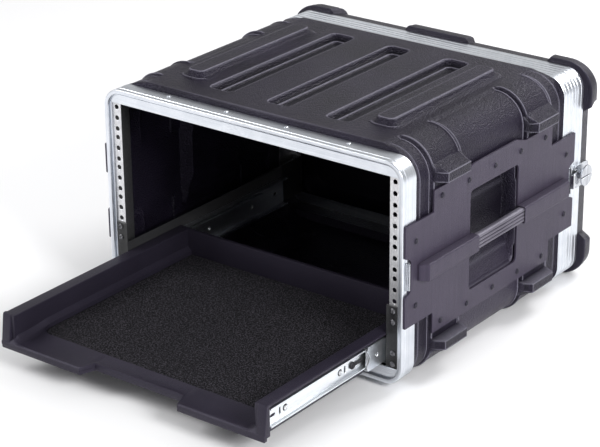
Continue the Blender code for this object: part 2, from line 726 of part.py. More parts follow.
def side_plate():
    window = shifted(rounded_rect(WINDOW_LENGTH / 2, WINDOW_HALF_HEIGHT, WINDOW_CORNER, 3), MID_Y, 0)
    mesh = outline_mesh("side_plate_r", [plate_outline(), window], "x", PLATE_INNER,
                        PLATE_THICKNESS)
    plate = add_object("side_plate_r", mesh, "plate")
    places = [((PLATE_OUTER, y, z), (1, 0, 0)) for y, z in plate_rivet_places()]
    boolean(plate, add_cutter("plate_rivets", rivet_heads(places)), "UNION")
    housings = bmesh.new()
    sockets = bmesh.new()
    half = HOUSING_HEIGHT / 2
    wall = (HOUSING_HEIGHT - GRIP_HEIGHT) / 2
    for span in housing_spans():
        outline = plate_depth_outline(span)
        add_mesh(housings, outline_mesh("housing", [outline], "z", -half, HOUSING_HEIGHT))
        back = span[1] - math.copysign(GRIP_SOCKET, span[1] - span[0])
        low_y, high_y = sorted((back, span[1] + math.copysign(OVER, span[1] - span[0])))
        box_bm((grip_inner() - GAP, low_y, -half + wall - GAP),
               (grip_outer() + GAP, high_y, half - wall + GAP), sockets)
    boolean(plate, add_cutter("housings", housings), "UNION")
    boolean(plate, add_cutter("grip_sockets", sockets), "DIFFERENCE")
    add_left_twin(plate, "side_plate_l")
    return plate


def grip_outer():
    return HOUSING_OUTER - (HOUSING_HEIGHT - GRIP_HEIGHT) / 2


def grip_inner():
    return grip_outer() - GRIP_THICKNESS


def handle_grip():
    """Ribbed bar whose ends sit in the housings' sockets."""
    half = GRIP_HEIGHT / 2
    pitch = GRIP_HEIGHT / GRIP_RIDGES
    section = [(grip_inner(), -half), (grip_outer(), -half)]
    for n in range(1, GRIP_RIDGES):
        z = -half + n * pitch
        section += [(grip_outer(), z - GRIP_GROOVE), (grip_outer() - GRIP_GROOVE, z),
                    (grip_outer(), z + GRIP_GROOVE)]
    section += [(grip_outer(), half), (grip_inner(), half)]
    front = housing_spans()[0][1] - GRIP_SOCKET + GAP
    mesh = outline_mesh("handle_grip_r", [section], "y", front, RAIL_SPACING - 2 * front)
    grip = add_object("handle_grip_r", mesh, "grip")
    add_left_twin(grip, "handle_grip_l")
    return grip


def keeper_section(rear):
    """Keeper seen from above, as (x, y): a foot on the valance and a lip standing off it."""
    foot = SIDE_X + GAP
    sole = foot + KEEPER_SHEET
    far = NOTCH_DEPTH - EAR_END - GAP
    near = far - KEEPER_WIDTH
    lip = far - KEEPER_LIP_INSET
    points = [(foot, near), (sole, near), (sole, lip - KEEPER_SHEET),
              (keeper_reach(), lip - KEEPER_SHEET), (keeper_reach(), lip), (sole, lip),
              (sole, far), (foot, far)]
    if rear:
        points = [(x, RAIL_SPACING - y) for x, y in points]
    return points


def keeper_reach():
    """Outer edge of a keeper's lip."""
    return SIDE_X + GAP + KEEPER_SHEET + KEEPER_LIP


def keeper(name, rear):
    mesh = outline_mesh(name, [keeper_section(rear)], "z", -KEEPER_HEIGHT / 2, KEEPER_HEIGHT)
    piece = add_object(name + "_r", mesh, "steel")
    add_left_twin(piece, name + "_l")
    return piece


# ---- tray housing brackets and slides ---------------------------------------------------------
def bracket_z():
    """Lowest and highest edge of the bracket's side plate."""
    low = TRAY_BOTTOM + GAP
    return low, low + BRACKET_HEIGHT


def ear_outline():
    """Front ear as (x, z): two rack units high, over the rail's holes."""
    low = -HALF_H + GAP
    edge = ear_edge()
    high = low + EAR_UNITS * RACK_UNIT
    return [(BRACKET_X, low), (edge, low), (edge, high), (BRACKET_X, high)]


def ear_edge():
    """Outer edge of a bracket's ear, inside the lip's corner."""
    return LIP_X - LIP_CORNER


def ear_screw_heights():
    """Screws in the ears: the lowest and the highest hole that an ear covers."""
    heights = hole_heights()
    last = EAR_UNITS * len(HOLE_STEPS)
    return (heights[0], heights[1], heights[last - 2], heights[last - 1])


def tray_bracket():
    """Side bracket: an ear on the rack rail and a long plate that carries the slide."""
    holes = [circle(HALF_W + HOLE_INSET, z, EAR_SCREW_SHANK / 2 + GAP) for z in ear_screw_heights()]
    front = -EAR_THICKNESS
    mesh = outline_mesh("tray_bracket_r", [ear_outline()] + holes, "y", front, EAR_THICKNESS)
    bracket = add_object("tray_bracket_r", mesh, "black_steel")
    low, high = bracket_z()
    back = OUTER_START + OUTER_LENGTH
    plate = box_bm((BRACKET_X + SHY, front + SHY, low), (BRACKET_X + BRACKET_THICKNESS, back, high))
    boolean(bracket, add_cutter("bracket_plate", plate), "UNION")
    add_left_twin(bracket, "tray_bracket_l")
    return bracket


def ear_screws():
    """Rack screws through the ears and the rail's holes."""
    for n, z in enumerate(ear_screw_heights(), start=1):
        point = (HALF_W + HOLE_INSET, -EAR_THICKNESS, z)
        name = "ear_screw_{}".format(n)
        piece = screw(name + "_r", point, (0, -1, 0), EAR_SCREW_HEAD, EAR_SCREW_RISE,
                      EAR_SCREW_SHANK, EAR_SCREW_LENGTH)
        add_left_twin(piece, name + "_l")


def drawer_screws():
    """Screws through the drawer member's web into the tray's wall."""
    x = SLIDE_X + SLIDE_SHEET
    for n, y in enumerate(drawer_screw_places(), start=1):
        name = "drawer_screw_{}".format(n)
        piece = screw(name + "_r", (x, y, SLIDE_Z), (1, 0, 0), DRAWER_SCREW_HEAD, DRAWER_SCREW_RISE,
                      DRAWER_SCREW_SHANK, SLIDE_SHEET - GAP)
        add_left_twin(piece, name + "_l")


def drawer_screw_places():
    return [drawer_start() + y for y in DRAWER_SCREW_Y]


def rear_bracket():
    """Short angle that ties the bracket's rear end to the rear rail."""
    low, high = bracket_z()
    x = BRACKET_X + BRACKET_THICKNESS + GAP
    face = RAIL_SPACING - GAP - RAIL_THICKNESS - GAP
    front = OUTER_START + OUTER_LENGTH - REAR_BRACKET_LAP
    edge = ear_edge()
    outer = x + BRACKET_THICKNESS
    section = [(x, front), (outer, front), (outer, face - EAR_THICKNESS),
               (edge, face - EAR_THICKNESS), (edge, face), (x, face)]
    mesh = outline_mesh("rear_bracket_r", [section], "z", low, high - low)
    piece = add_object("rear_bracket_r", mesh, "black_steel")
    add_left_twin(piece, "rear_bracket_l")
    return piece


def member_levels():
    """Half heights of the three slide members, outside first."""
    outer = SLIDE_HEIGHT / 2
    middle = outer - SLIDE_SHEET - SLIDE_GAP
    drawer = middle - SLIDE_SHEET - SLIDE_GAP
    return outer, middle, drawer


def channel_section(web_x, open_x, half):
    """C section as (x, z), with its web at web_x and its flanges running to open_x."""
    sheet = SLIDE_SHEET * (1 if open_x > web_x else -1)
    return [(web_x, SLIDE_Z - half), (open_x, SLIDE_Z - half), (open_x, SLIDE_Z - half + SLIDE_SHEET),
            (web_x + sheet, SLIDE_Z - half + SLIDE_SHEET), (web_x + sheet, SLIDE_Z + half - SLIDE_SHEET),
            (open_x, SLIDE_Z + half - SLIDE_SHEET), (open_x, SLIDE_Z + half), (web_x, SLIDE_Z + half)]


def middle_web():
    """Outer face of the middle member's web."""
    return BRACKET_X - GAP - MEMBER_STEP


def slide_members():
    """Outer, middle and drawer members of the right slide, with their left twins."""
    outer, middle, drawer = member_levels()
    wall = BRACKET_X - GAP
    layout = (
        ("slide_outer", wall, wall - SLIDE_THICKNESS * 0.8, outer, OUTER_START, OUTER_LENGTH),
        ("slide_middle", middle_web(), SLIDE_X + SLIDE_SHEET / 2, middle, OUTER_START - MID_OUT,
         MID_LENGTH),
        ("slide_drawer", SLIDE_X, SLIDE_X + SLIDE_THICKNESS / 2, drawer, drawer_start(), DRAWER_LENGTH),
    )
    for name, web, edge, half, start, length in layout:
        mesh = outline_mesh(name, [channel_section(web, edge, half)], "y", start, length)
        origin = (web, start, SLIDE_Z)
        piece = add_object(name + "_r", mesh, "zinc", origin)
        if name == "slide_drawer":
            boolean(piece, add_cutter("drawer_holes", drawer_holes()), "DIFFERENCE")
        add_left_twin(piece, name + "_l")


def drawer_holes():
    """Screw holes through the drawer member's web."""
    bm = bmesh.new()
    radius = DRAWER_SCREW_SHANK / 2 + GAP
    for y in drawer_screw_places():
        cone_bm(bm, (SLIDE_X - SLIDE_SHEET, y, SLIDE_Z), (1, 0, 0), radius, radius, 3 * SLIDE_SHEET)
    return bm


def drawer_start():
    """Front end of the drawer member, just behind the tray's front post."""
    return TRAY_Y + POST_DEPTH + DRAWER_SETBACK


def ball_cage(name, web_x, ball_x, half_outer, half_inner, start, length):
    """Folded cage between two members, with a run of balls above and one below."""
    centre = (half_outer - SLIDE_SHEET + half_inner) / 2
    half = CAGE_SHEET / 2
    open_x = ball_x - BALL_DIAMETER
    low = SLIDE_Z - centre
    high = SLIDE_Z + centre
    inner_x = web_x - CAGE_SHEET
    section = [(web_x, low - half), (web_x, high + half), (open_x, high + half), (open_x, high - half),
               (inner_x, high - half), (inner_x, low + half), (open_x, low + half),
               (open_x, low - half)]
    margin = BALL_DIAMETER
    mesh = outline_mesh(name, [section], "y", start - margin, length + 2 * margin)
    cage = add_object(name + "_r", mesh, "steel", (web_x, start, SLIDE_Z))
    balls = bmesh.new()
    for n in range(BALLS_PER_RUN):
        for z in (low, high):
            place = Matrix.Translation((ball_x, start + n * length / (BALLS_PER_RUN - 1), z))
            bmesh.ops.create_icosphere(balls, subdivisions=1, radius=BALL_DIAMETER / 2, matrix=place)
    boolean(cage, add_cutter(name + "_balls", balls), "UNION")
    add_left_twin(cage, name + "_l")


def ball_cages():
    outer, middle, drawer = member_levels()
    wall = BRACKET_X - GAP
    length = OUTER_LENGTH * CAGE_SHARE
    start = cage_start(OUTER_START, MID_OUT, length, MID_LENGTH)
    ball_cage("outer_ball_cage", wall - SLIDE_SHEET - CAGE_CLEARANCE, wall - SLIDE_THICKNESS * 0.45,
              outer, middle, start, length)
    middle_front = OUTER_START - MID_OUT
    start = cage_start(middle_front, middle_front - drawer_start(), length, DRAWER_LENGTH)
    web = middle_web() - SLIDE_SHEET - CAGE_CLEARANCE
    ball_cage("inner_ball_cage", web, SLIDE_X + SLIDE_THICKNESS * 0.30, middle, drawer, start, length)


def cage_start(fixed_front, out, cage_length, moving_length):
    """Where a cage starts: it rolls half as far as the member that it carries."""
    shut = fixed_front + (moving_length - cage_length) * CAGE_PLACE
    return shut - out / 2


def slide_lever():
    """Plastic release lever in the drawer member, just ahead of the middle member."""
    x = SLIDE_X + SLIDE_SHEET + GAP
    front = OUTER_START - MID_OUT - LEVER_AHEAD
    back = front + LEVER_LENGTH
    half = (member_levels()[2] - SLIDE_SHEET - GAP) * LEVER_SHARE
    outline = [(front, SLIDE_Z - half), (back, SLIDE_Z - half), (back + LEVER_NOSE, SLIDE_Z),
               (back, SLIDE_Z + half), (front + LEVER_NOSE, SLIDE_Z + half),
               (front - LEVER_NOSE, SLIDE_Z)]
    mesh = outline_mesh("slide_lever_r", [outline], "x", x, LEVER_SHEET)
    piece = add_object("slide_lever_r", mesh, "lever")
    add_left_twin(piece, "slide_lever_l")


# ---- tray -------------------------------------------------------------------------------------
def tray_outline():
    """Tray from above, as (x, y): full width in front with the finger notch, narrower behind."""
    front = TRAY_Y
    back = TRAY_Y + POST_DEPTH
    notch = NOTCH_WIDTH / 2
    deep = front + NOTCH_RUN
    return [(-TRAY_HALF, back), (-TRAY_HALF, front), (-notch - NOTCH_FLARE, front), (-notch, deep),
            (notch, deep), (notch + NOTCH_FLARE, front), (TRAY_HALF, front), (TRAY_HALF, back),
            (TRAY_TUB, back), (TRAY_TUB, TRAY_BACK), (-TRAY_TUB, TRAY_BACK), (-TRAY_TUB, back)]


def tray_base():
    """Thin pan under the tray: full width in front, between the slides behind."""
    mesh = outline_mesh("tray_base", [tray_outline()], "z", TRAY_BOTTOM, TRAY_PAN)
    return add_object("tray_base", mesh, "tray")


def tray_body():
    """Tub with rims over the slides, posts that hide their ends and an apron in front."""
    low = TRAY_BOTTOM + TRAY_PAN + GAP
    top = TRAY_BOTTOM + TRAY_WALL_TOP
    floor = low + TRAY_FLOOR
    inner = TRAY_TUB - TRAY_WALL
    apron_back = TRAY_Y + POST_DEPTH
    mesh = outline_mesh("tray_body", [tray_outline()], "z", low, TRAY_FLOOR)
    tray = add_object("tray_body", mesh, "tray")
    walls = bmesh.new()
    lap = LAP
    for side in (-1, 1):
        xs = sorted((side * (inner + lap), side * (TRAY_TUB - lap)))
        box_bm((xs[0], apron_back - lap, floor - lap), (xs[1], TRAY_BACK - lap, top - lap), walls)
    boolean(tray, add_cutter("tray_walls", walls), "UNION")
    back = box_bm((-inner - 2 * lap, TRAY_BACK - TRAY_WALL, floor - lap),
                  (inner + 2 * lap, TRAY_BACK - 2 * lap, top - 2 * lap))
    boolean(tray, add_cutter("tray_back", back), "UNION")
    edges = bmesh.new()
    for side in (-1, 1):
        post = sorted((side * (TRAY_HALF - POST_WIDTH), side * (TRAY_HALF - lap)))
        box_bm((post[0], TRAY_Y + lap, low + lap), (post[1], TRAY_Y + POST_DEPTH, top - 2 * lap), edges)
    boolean(tray, add_cutter("tray_posts", edges), "UNION")
    rims = bmesh.new()
    for side in (-1, 1):
        rim = sorted((side * (TRAY_HALF - TRAY_RIM_WIDTH - TRAY_WALL), side * TRAY_HALF))
        box_bm((rim[0], TRAY_Y + 2 * lap, top - TRAY_RIM_HEIGHT), (rim[1], TRAY_BACK, top), rims)
    boolean(tray, add_cutter("tray_rims", rims), "UNION")
    return tray


def tray_liner():
    """Foam mat on the tray's floor, with round front corners."""
    half = TRAY_TUB - TRAY_WALL - LINER_MARGIN / 2
    front = TRAY_Y + APRON_DEPTH
    back = TRAY_BACK - TRAY_WALL - GAP
    outline = [(half, back), (-half, back)]
    for side, start in ((-1, 180), (1, 270)):
        for step in range(CORNER_STEPS + 1):
            angle = math.radians(start + 90 * step / CORNER_STEPS)
            outline.append((side * (half - LINER_CORNER) + LINER_CORNER * math.cos(angle),
                            front + LINER_CORNER + LINER_CORNER * math.sin(angle)))
    bottom = TRAY_BOTTOM + TRAY_PAN + GAP + TRAY_FLOOR + GAP
    mesh = outline_mesh("tray_liner", [outline], "z", bottom, LINER_THICKNESS)
    return add_object("tray_liner", mesh, "liner")


# ---- rear lid and latches ---------------------------------------------------------------------
def lid_valance():
    """The lid's own aluminium edge, meeting the rear valance face to face."""
    x = SIDE_X
    z = VALANCE_Z
    r = VALANCE_CORNER
    wall = VALANCE_WALL
    near = LID_Y + GAP
    far = LID_BODY_Y
    inner = BEAD_WIDTH + LID_LEDGE
    rings = [(far, x, z, r), (near, x, z, r), (near, x - inner, z - inner, r - inner),
             (near + wall, x - inner, z - inner, r - inner),
             (near + wall, x - wall, z - wall, r - wall), (far, x - wall, z - wall, r - wall)]
    bm = loft_bm(rings, closed=True)
    return add_object("lid_valance", mesh_from(bm, "lid_valance"), "aluminium")


def lid_section(y, grow):
    """Half width, half height and corner of the moulded lid at a depth, grown outwards."""
    far = (y - LID_BODY_Y) / LID_DEPTH
    lean = LID_LEAN * far
    return (y, SIDE_X - lean + grow, VALANCE_Z - lean + grow, LID_CORNER + grow)


def lid_shell():
    """Dished lid: a neck in its valance, a leaning side wall and a slightly domed back."""
    wall = LID_WALL
    rim = LID_Y + VALANCE_WALL + 2 * GAP
    neck = (NECK_X, NECK_Z, NECK_CORNER)
    thin = (NECK_X - wall, NECK_Z - wall, NECK_CORNER - wall)
    turn = LID_BACK - LID_DOME / 2
    back = LID_BACK - LID_BACK_INSET
    outer = [(rim, *neck), (LID_BODY_Y + GAP, *neck), lid_section(LID_BODY_Y + GAP, 0.0),
             lid_section(turn, 0.0), lid_section(back, -LID_DOME / 3)]
    inside = [(rim, *thin), (LID_BODY_Y + wall, *thin), lid_section(turn - wall / 2, -wall),
              lid_section(back - wall, -LID_DOME / 3 - wall / 2)]
    bm = loft_bm(list(reversed(inside)) + outer, closed=False)
    shell = add_object("lid_shell", mesh_from(bm, "lid_shell"), "shell")
    boolean(shell, add_cutter("lid_bumpers", lid_bumpers()), "UNION")
    return shell


def lid_bumpers():
    """A belt round the lid, cut into four corner bumpers and one above and below."""
    near = LID_BODY_Y + LID_BUMPER_START
    sink = LID_BUMPER_SINK
    edge = LID_BUMPER_EDGE
    half_w = SIDE_X + LID_BUMPER_REACH
    half_h = VALANCE_Z + LID_BUMPER_RISE
    r = LID_BUMPER_CORNER
    taper = LID_BUMPER_TAPER
    inner = LID_BUMPER_RETURN
    lip = inner / 4
    rings = [(near, SIDE_X - sink, VALANCE_Z - sink, LID_CORNER), (near, half_w - edge, half_h - edge, r),
             (near + LID_BUMPER_ROUND, half_w, half_h, r),
             (LID_BODY_Y + LID_DEPTH / 2, half_w - edge / 2, half_h - edge / 2, r),
             (LID_BACK, half_w - taper, half_h - taper, r - taper / 2),
             (LID_BACK, SIDE_X - inner, VALANCE_Z - inner, r - inner),
             (LID_BACK - 2 * edge, SIDE_X - inner, VALANCE_Z - inner, r - inner),
             (LID_BACK - 3 * edge, SIDE_X - lip, VALANCE_Z - lip, LID_CORNER)]
    belt = loft_bm(rings, closed=True)
    holder = add_object("lid_belt", mesh_from(belt, "lid_belt"), "shell")
    boolean(holder, add_cutter("lid_belt_gaps", belt_gaps()), "DIFFERENCE")
    graph = bpy.context.evaluated_depsgraph_get()
    bm = bmesh.new()
    bm.from_mesh(bpy.data.meshes.new_from_object(holder.evaluated_get(graph)))
    bpy.data.objects.remove(holder, do_unlink=True)
    return bm


def belt_gaps():
    """Boxes that leave the lid's sides and most of its top and bottom free of bumper."""
    bm = bmesh.new()
    far = LID_BACK + LID_DEPTH
    out_x = SIDE_X + LID_DEPTH
    out_z = VALANCE_Z + LID_DEPTH
    in_x = HALF_W - LID_BUMPER_CORNER
    in_z = HALF_H - LID_DEPTH
    for side in (-1, 1):
        xs = sorted((side * in_x, side * out_x))
        box_bm((xs[0], LID_Y, -LID_BUMPER_SIDE_GAP), (xs[1], far, LID_BUMPER_SIDE_GAP), bm)
        xs = sorted((side * LID_BUMPER_MIDDLE, side * (HALF_W - LID_BUMPER_ARM)))
        for up in (-1, 1):
            zs = sorted((up * in_z, up * out_z))
            box_bm((xs[0], LID_Y, zs[0]), (xs[1], far, zs[1]), bm)
    return bm


def latch_y():
    """Centre of the twist latch, on the lid's valance."""
    return LID_BODY_Y


def latch_base():
    half = LATCH_BASE_HEIGHT / 2
    x = SIDE_X + GAP
    length = LATCH_DISC_RADIUS + LATCH_BASE_MARGIN
    outline = shifted(rounded_rect(length, half, LATCH_BASE_CORNER, 3), latch_y(), 0)
    mesh = outline_mesh("latch_base_r", [outline], "x", x, LATCH_BASE_THICKNESS)
    piece = add_object("latch_base_r", mesh, "steel")
    add_left_twin(piece, "latch_base_l")


def hub_x():
    return SIDE_X + GAP + LATCH_BASE_THICKNESS + GAP


def latch_hub():
    """Turned boss that the fingers twist, with a flat on which the wings fold."""
    bm = bmesh.new()
    centre = (hub_x() + LATCH_STEM_RISE, latch_y(), 0)
    cone_bm(bm, centre, (1, 0, 0), LATCH_HUB_RADIUS, LATCH_HUB_RADIUS * LATCH_HUB_TAPER,
            LATCH_HUB_HEIGHT, 12)
    hub = add_object("latch_hub_r", mesh_from(bm, "latch_hub_r"), "steel", centre)
    stem = bmesh.new()
    radius = LATCH_HUB_RADIUS * LATCH_STEM
    cone_bm(stem, (hub_x(), latch_y(), 0), (1, 0, 0), radius, radius, LATCH_STEM_RISE + OVER)
    boolean(hub, add_cutter("latch_stem", stem), "UNION")
    add_left_twin(hub, "latch_hub_l")


def wing_plane():
    return hub_x() + LATCH_STEM_RISE + LATCH_HUB_HEIGHT + GAP


def latch_wings():
    """Two half discs that fold flat over the hub; each turns on the fold line."""
    for name, up in (("latch_wing_upper", 1), ("latch_wing_lower", -1)):
        outline = []
        steps = 10
        for step in range(steps + 1):
            angle = math.radians(180 * step / steps)
            outline.append((latch_y() + LATCH_DISC_RADIUS * math.cos(angle),
                            up * (LATCH_PIN / 2 + GAP + LATCH_DISC_RADIUS * math.sin(angle))))
        mesh = outline_mesh(name, [outline], "x", wing_plane(), LATCH_DISC_THICKNESS)
        origin = (wing_plane() + LATCH_DISC_THICKNESS, latch_y(), up * (LATCH_PIN / 2 + GAP))
        wing = add_object(name + "_r", mesh, "steel", origin)
        add_left_twin(wing, name + "_l")


def hook_pivot():
    """The hook's hinge line, beside the hub on the keeper's side."""
    return Vector((hub_x() + HOOK_LIFT + HOOK_THICKNESS / 2, latch_y() - HOOK_PIVOT, 0))


def hook_section():
    """Hook from above, as (x, y), fully latched: an arm, a joggle over the lip and a claw."""
    pivot = hook_pivot()
    low = pivot.x - HOOK_THICKNESS / 2
    back = pivot.y + HOOK_THICKNESS / 2
    over = keeper_reach() + GAP
    lip = RAIL_SPACING - (NOTCH_DEPTH - EAR_END - GAP) + KEEPER_LIP_INSET
    claw = lip - 2 * GAP
    tip = SIDE_X + GAP + KEEPER_SHEET + GAP
    bend = lip + KEEPER_SHEET + 2 * GAP
    run = over - low
    inner = [(low, back), (low, bend + run), (over, bend), (over, claw), (tip, claw)]
    outer = [(tip, claw - HOOK_CLAW), (over + HOOK_THICKNESS, claw - HOOK_CLAW),
             (over + HOOK_THICKNESS, bend + HOOK_THICKNESS / 2),
             (low + HOOK_THICKNESS, bend + run + HOOK_THICKNESS / 2), (low + HOOK_THICKNESS, back)]
    return inner + outer


def latch_hook():
    """Claw that reaches over the joint to the keeper; at rest it is swung just clear of it."""
    pivot = hook_pivot()
    mesh = outline_mesh("latch_hook_r", [hook_section()], "z", -HOOK_HEIGHT / 2, HOOK_HEIGHT)
    swing = Matrix.Rotation(math.radians(HOOK_OPEN), 4, "Z")
    mesh.transform(Matrix.Translation(pivot) @ swing @ Matrix.Translation(-pivot))
    hook = add_object("latch_hook_r", mesh, "steel", pivot)
    add_left_twin(hook, "latch_hook_l")


# ---- build ------------------------------------------------------------------------------------
def build():
    shell = body_shell()
    channel_slots(shell)
    case_valance("front_valance", rear=False)
    case_valance("rear_valance", rear=True)
    rack_rail("front_rail", rear=False)
    rack_rail("rear_rail", rear=True)
    side_plate()
    handle_grip()
    keeper("front_keeper", rear=False)
    keeper("rear_keeper", rear=True)
    tray_bracket()
    ear_screws()
    rear_bracket()
    slide_members()
    drawer_screws()
    ball_cages()
    slide_lever()
    tray_base()
    tray_body()
    tray_liner()
    lid_valance()
    lid_shell()
    latch_base()
    latch_hub()
    latch_wings()
    latch_hook()


build()
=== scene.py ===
# Looks for a moulded six unit rack case with a pull-out tray: shells, extrusions, steel and foam.
# Lengths are metres. Most numbers are in the case's own axes: x right, y into the case, z up,
# with the origin at the centre of the rack opening, on the face of the front rails.
import math

import bmesh
import bpy
import numpy as np
from mathutils import Matrix, Vector


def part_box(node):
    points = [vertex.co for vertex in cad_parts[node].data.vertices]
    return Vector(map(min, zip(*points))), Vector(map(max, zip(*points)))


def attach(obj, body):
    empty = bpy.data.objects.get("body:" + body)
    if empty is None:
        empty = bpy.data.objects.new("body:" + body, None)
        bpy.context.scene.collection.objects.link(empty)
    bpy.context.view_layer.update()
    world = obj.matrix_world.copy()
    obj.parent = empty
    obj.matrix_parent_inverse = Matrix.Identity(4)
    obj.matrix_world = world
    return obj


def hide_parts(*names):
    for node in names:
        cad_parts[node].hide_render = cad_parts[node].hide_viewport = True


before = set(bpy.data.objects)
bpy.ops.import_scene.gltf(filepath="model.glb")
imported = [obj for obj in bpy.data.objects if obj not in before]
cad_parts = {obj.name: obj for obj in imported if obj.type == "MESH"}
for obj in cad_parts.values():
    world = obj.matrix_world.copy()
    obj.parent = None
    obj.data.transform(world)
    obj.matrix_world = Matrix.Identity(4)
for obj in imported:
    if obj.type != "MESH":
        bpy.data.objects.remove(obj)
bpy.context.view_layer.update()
scene = bpy.context.scene

# ---------- where things are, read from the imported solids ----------
sheetGap = 0.0003               # clearance between pieces that touch
railLow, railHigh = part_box("front_rail_r")
caseY = railLow.y - sheetGap
caseZ = (railLow.z + railHigh.z) / 2
origin = np.array((0.0, caseY, caseZ))


def caseBox(node):
    # a node's corners in the case's axes
    low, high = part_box(node)
    return np.array(low) - origin, np.array(high) - origin


_, frontHigh = caseBox("front_valance")
lidLow, lidHigh = caseBox("lid_shell")
plateLow, plateHigh = caseBox("side_plate_r")
gripLow, gripHigh = caseBox("handle_grip_r")
trayLow, trayHigh = caseBox("tray_body")
panLow, panHigh = caseBox("tray_base")
linerLow, linerHigh = caseBox("tray_liner")
drawerLow, drawerHigh = caseBox("slide_drawer_r")
middleLow, middleHigh = caseBox("slide_middle_r")
outerLow, outerHigh = caseBox("slide_outer_r")
openingHalfW = railLow.x
openingHalfH = (railHigh.z - railLow.z) / 2 + sheetGap
caseDepth = caseBox("rear_rail_r")[1][1] + sheetGap      # front rail face to rear rail face
sideX = frontHigh[0]
rivetProud = 0.0016                         # the valance's box takes in its rivets
valanceZ = frontHigh[2] - rivetProud
housingRise = 0.0140                        # the plate's box takes in its handle housings
plateFace = plateHigh[0] - housingRise
print("frame loaded", len(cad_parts), "nodes")


# ---------- camera ----------
def addCamera():
    view = {"place": (1.6189, -2.1139, 1.2843), "forward": (-0.5583, 0.7294, -0.3954),
            "roll": -0.58, "lens": 126.5, "sensor": 36.0}
    data = bpy.data.cameras.new("caseCamera")
    data.lens = view["lens"]
    data.sensor_width = view["sensor"]
    data.clip_end = 30.0
    camera = bpy.data.objects.new("caseCamera", data)
    aim = Vector(view["forward"]).to_track_quat("-Z", "Y")
    camera.rotation_mode = "QUATERNION"
    turn = Matrix.Rotation(math.radians(view["roll"]), 4, "Z")
    camera.rotation_quaternion = (aim.to_matrix().to_4x4() @ turn).to_quaternion()
    camera.location = view["place"]
    scene.collection.objects.link(camera)
    scene.camera = camera


addCamera()


# ---------- surfaces as arrays ----------
def gridSurface(points, closeRows=False, closeColumns=False, capRows=False):
    # points is (rows, columns, 3): each face joins four neighbours; caps close the first and last row
    rows, columns = points.shape[:2]
    index = np.arange(rows * columns).reshape(rows, columns)
    if closeRows:
        index = np.vstack([index, index[:1]])
    if closeColumns:
        index = np.hstack([index, index[:, :1]])
    quads = np.stack([index[:-1, :-1], index[:-1, 1:], index[1:, 1:], index[1:, :-1]], axis=-1)
    caps = []
    if capRows:
        caps = [list(map(int, index[0, :columns][::-1])), list(map(int, index[-1, :columns]))]
    steps = np.linalg.norm(np.diff(points, axis=1), axis=2)
    across = np.hstack([np.zeros((rows, 1)), np.cumsum(steps, axis=1)])
    steps = np.linalg.norm(np.diff(points, axis=0), axis=2)
    along = np.vstack([np.zeros((1, columns)), np.cumsum(steps, axis=0)])
    return {"points": points.reshape(-1, 3), "quads": quads.reshape(-1, 4), "caps": caps,
            "uv": np.stack([across, along], axis=-1).reshape(-1, 2)}


def withTone(surface, satinAndShade, edge):
    # adds the two tone maps of a grid: satin panels with painted shade in the hollows, and a painted
    # highlight along convex edges
    surface["tone"] = np.stack([satinAndShade, edge], axis=-1).reshape(-1, 2)
    return surface


def convexEdges(points, outward, reach=0.0012, least=0.13, full=0.53):
    # how sharply a grid bends away from its outward side: the change of direction from one line to
    # the next, along and across, measured against the normal; 0 up to least, 1 from full
    def turn(axis):
        step = np.diff(points, axis=axis)
        length = np.maximum(np.linalg.norm(step, axis=2, keepdims=True), 1e-5)
        count = length.shape[axis]
        span = (length.take(range(1, count), axis) + length.take(range(count - 1), axis)) / 2
        middle = [slice(None)] * 3
        middle[axis] = slice(1, -1)
        out = np.zeros_like(points)
        out[tuple(middle)] = np.diff(step / length, axis=axis) * np.clip(reach / span, 0.4, 1.0)
        return out

    normal = np.cross(np.gradient(points, axis=0), np.gradient(points, axis=1))
    normal /= np.maximum(np.linalg.norm(normal, axis=2, keepdims=True), 1e-12)
    normal *= np.where((normal * outward).sum(2, keepdims=True) < 0, -1, 1)
    bend = -((turn(0) + turn(1)) * normal).sum(2)
    return np.clip((bend - least) / (full - least), 0, 1)


def joined(surfaces):
    # several surfaces as one
    points, quads, caps, uv, start = [], [], [], [], 0
    for surface in surfaces:
        points.append(surface["points"])
        quads.append(surface["quads"] + start)
        caps += [[n + start for n in cap] for cap in surface["caps"]]
        uv.append(surface["uv"])
        start += len(surface["points"])
    return {"points": np.vstack(points), "quads": np.vstack(quads), "caps": caps, "uv": np.vstack(uv)}


def mirrored(surface):
    # the left-hand twin of a right-hand surface
    twin = dict(surface)
    twin["points"] = surface["points"] * (-1, 1, 1)
    return twin


def makePiece(name, surface, material, body, replaces=(), sharp=35, mergeBy=1e-6):
    # arrays to a mesh in the row's axes, welded, with its faces turned outwards
    mesh = bpy.data.meshes.new(name)
    faces = surface["quads"].tolist() + surface["caps"]
    mesh.from_pydata((surface["points"] + origin).tolist(), [], faces)
    corners = np.empty(len(mesh.loops), dtype=np.int32)
    mesh.loops.foreach_get("vertex_index", corners)
    mesh.uv_layers.new(name="surface")
    mesh.uv_layers["surface"].data.foreach_set("uv", surface["uv"][corners].astype(np.float32).ravel())
    if "tone" in surface:
        mesh.uv_layers.new(name="tone")
        mesh.uv_layers["tone"].data.foreach_set("uv", surface["tone"][corners].astype(np.float32).ravel())
    shape = bmesh.new()
    shape.from_mesh(mesh)
    bmesh.ops.remove_doubles(shape, verts=shape.verts, dist=mergeBy)
    bmesh.ops.dissolve_degenerate(shape, edges=shape.edges, dist=1e-7)
    bmesh.ops.recalc_face_normals(shape, faces=shape.faces)
    shape.to_mesh(mesh)
    shape.free()
    mesh.shade_smooth()
    mesh.set_sharp_from_angle(angle=math.radians(sharp))
    piece = bpy.data.objects.new(name, mesh)
    scene.collection.objects.link(piece)
    mesh.materials.append(material)
    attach(piece, body)
    if replaces:
        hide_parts(*replaces)
    return piece


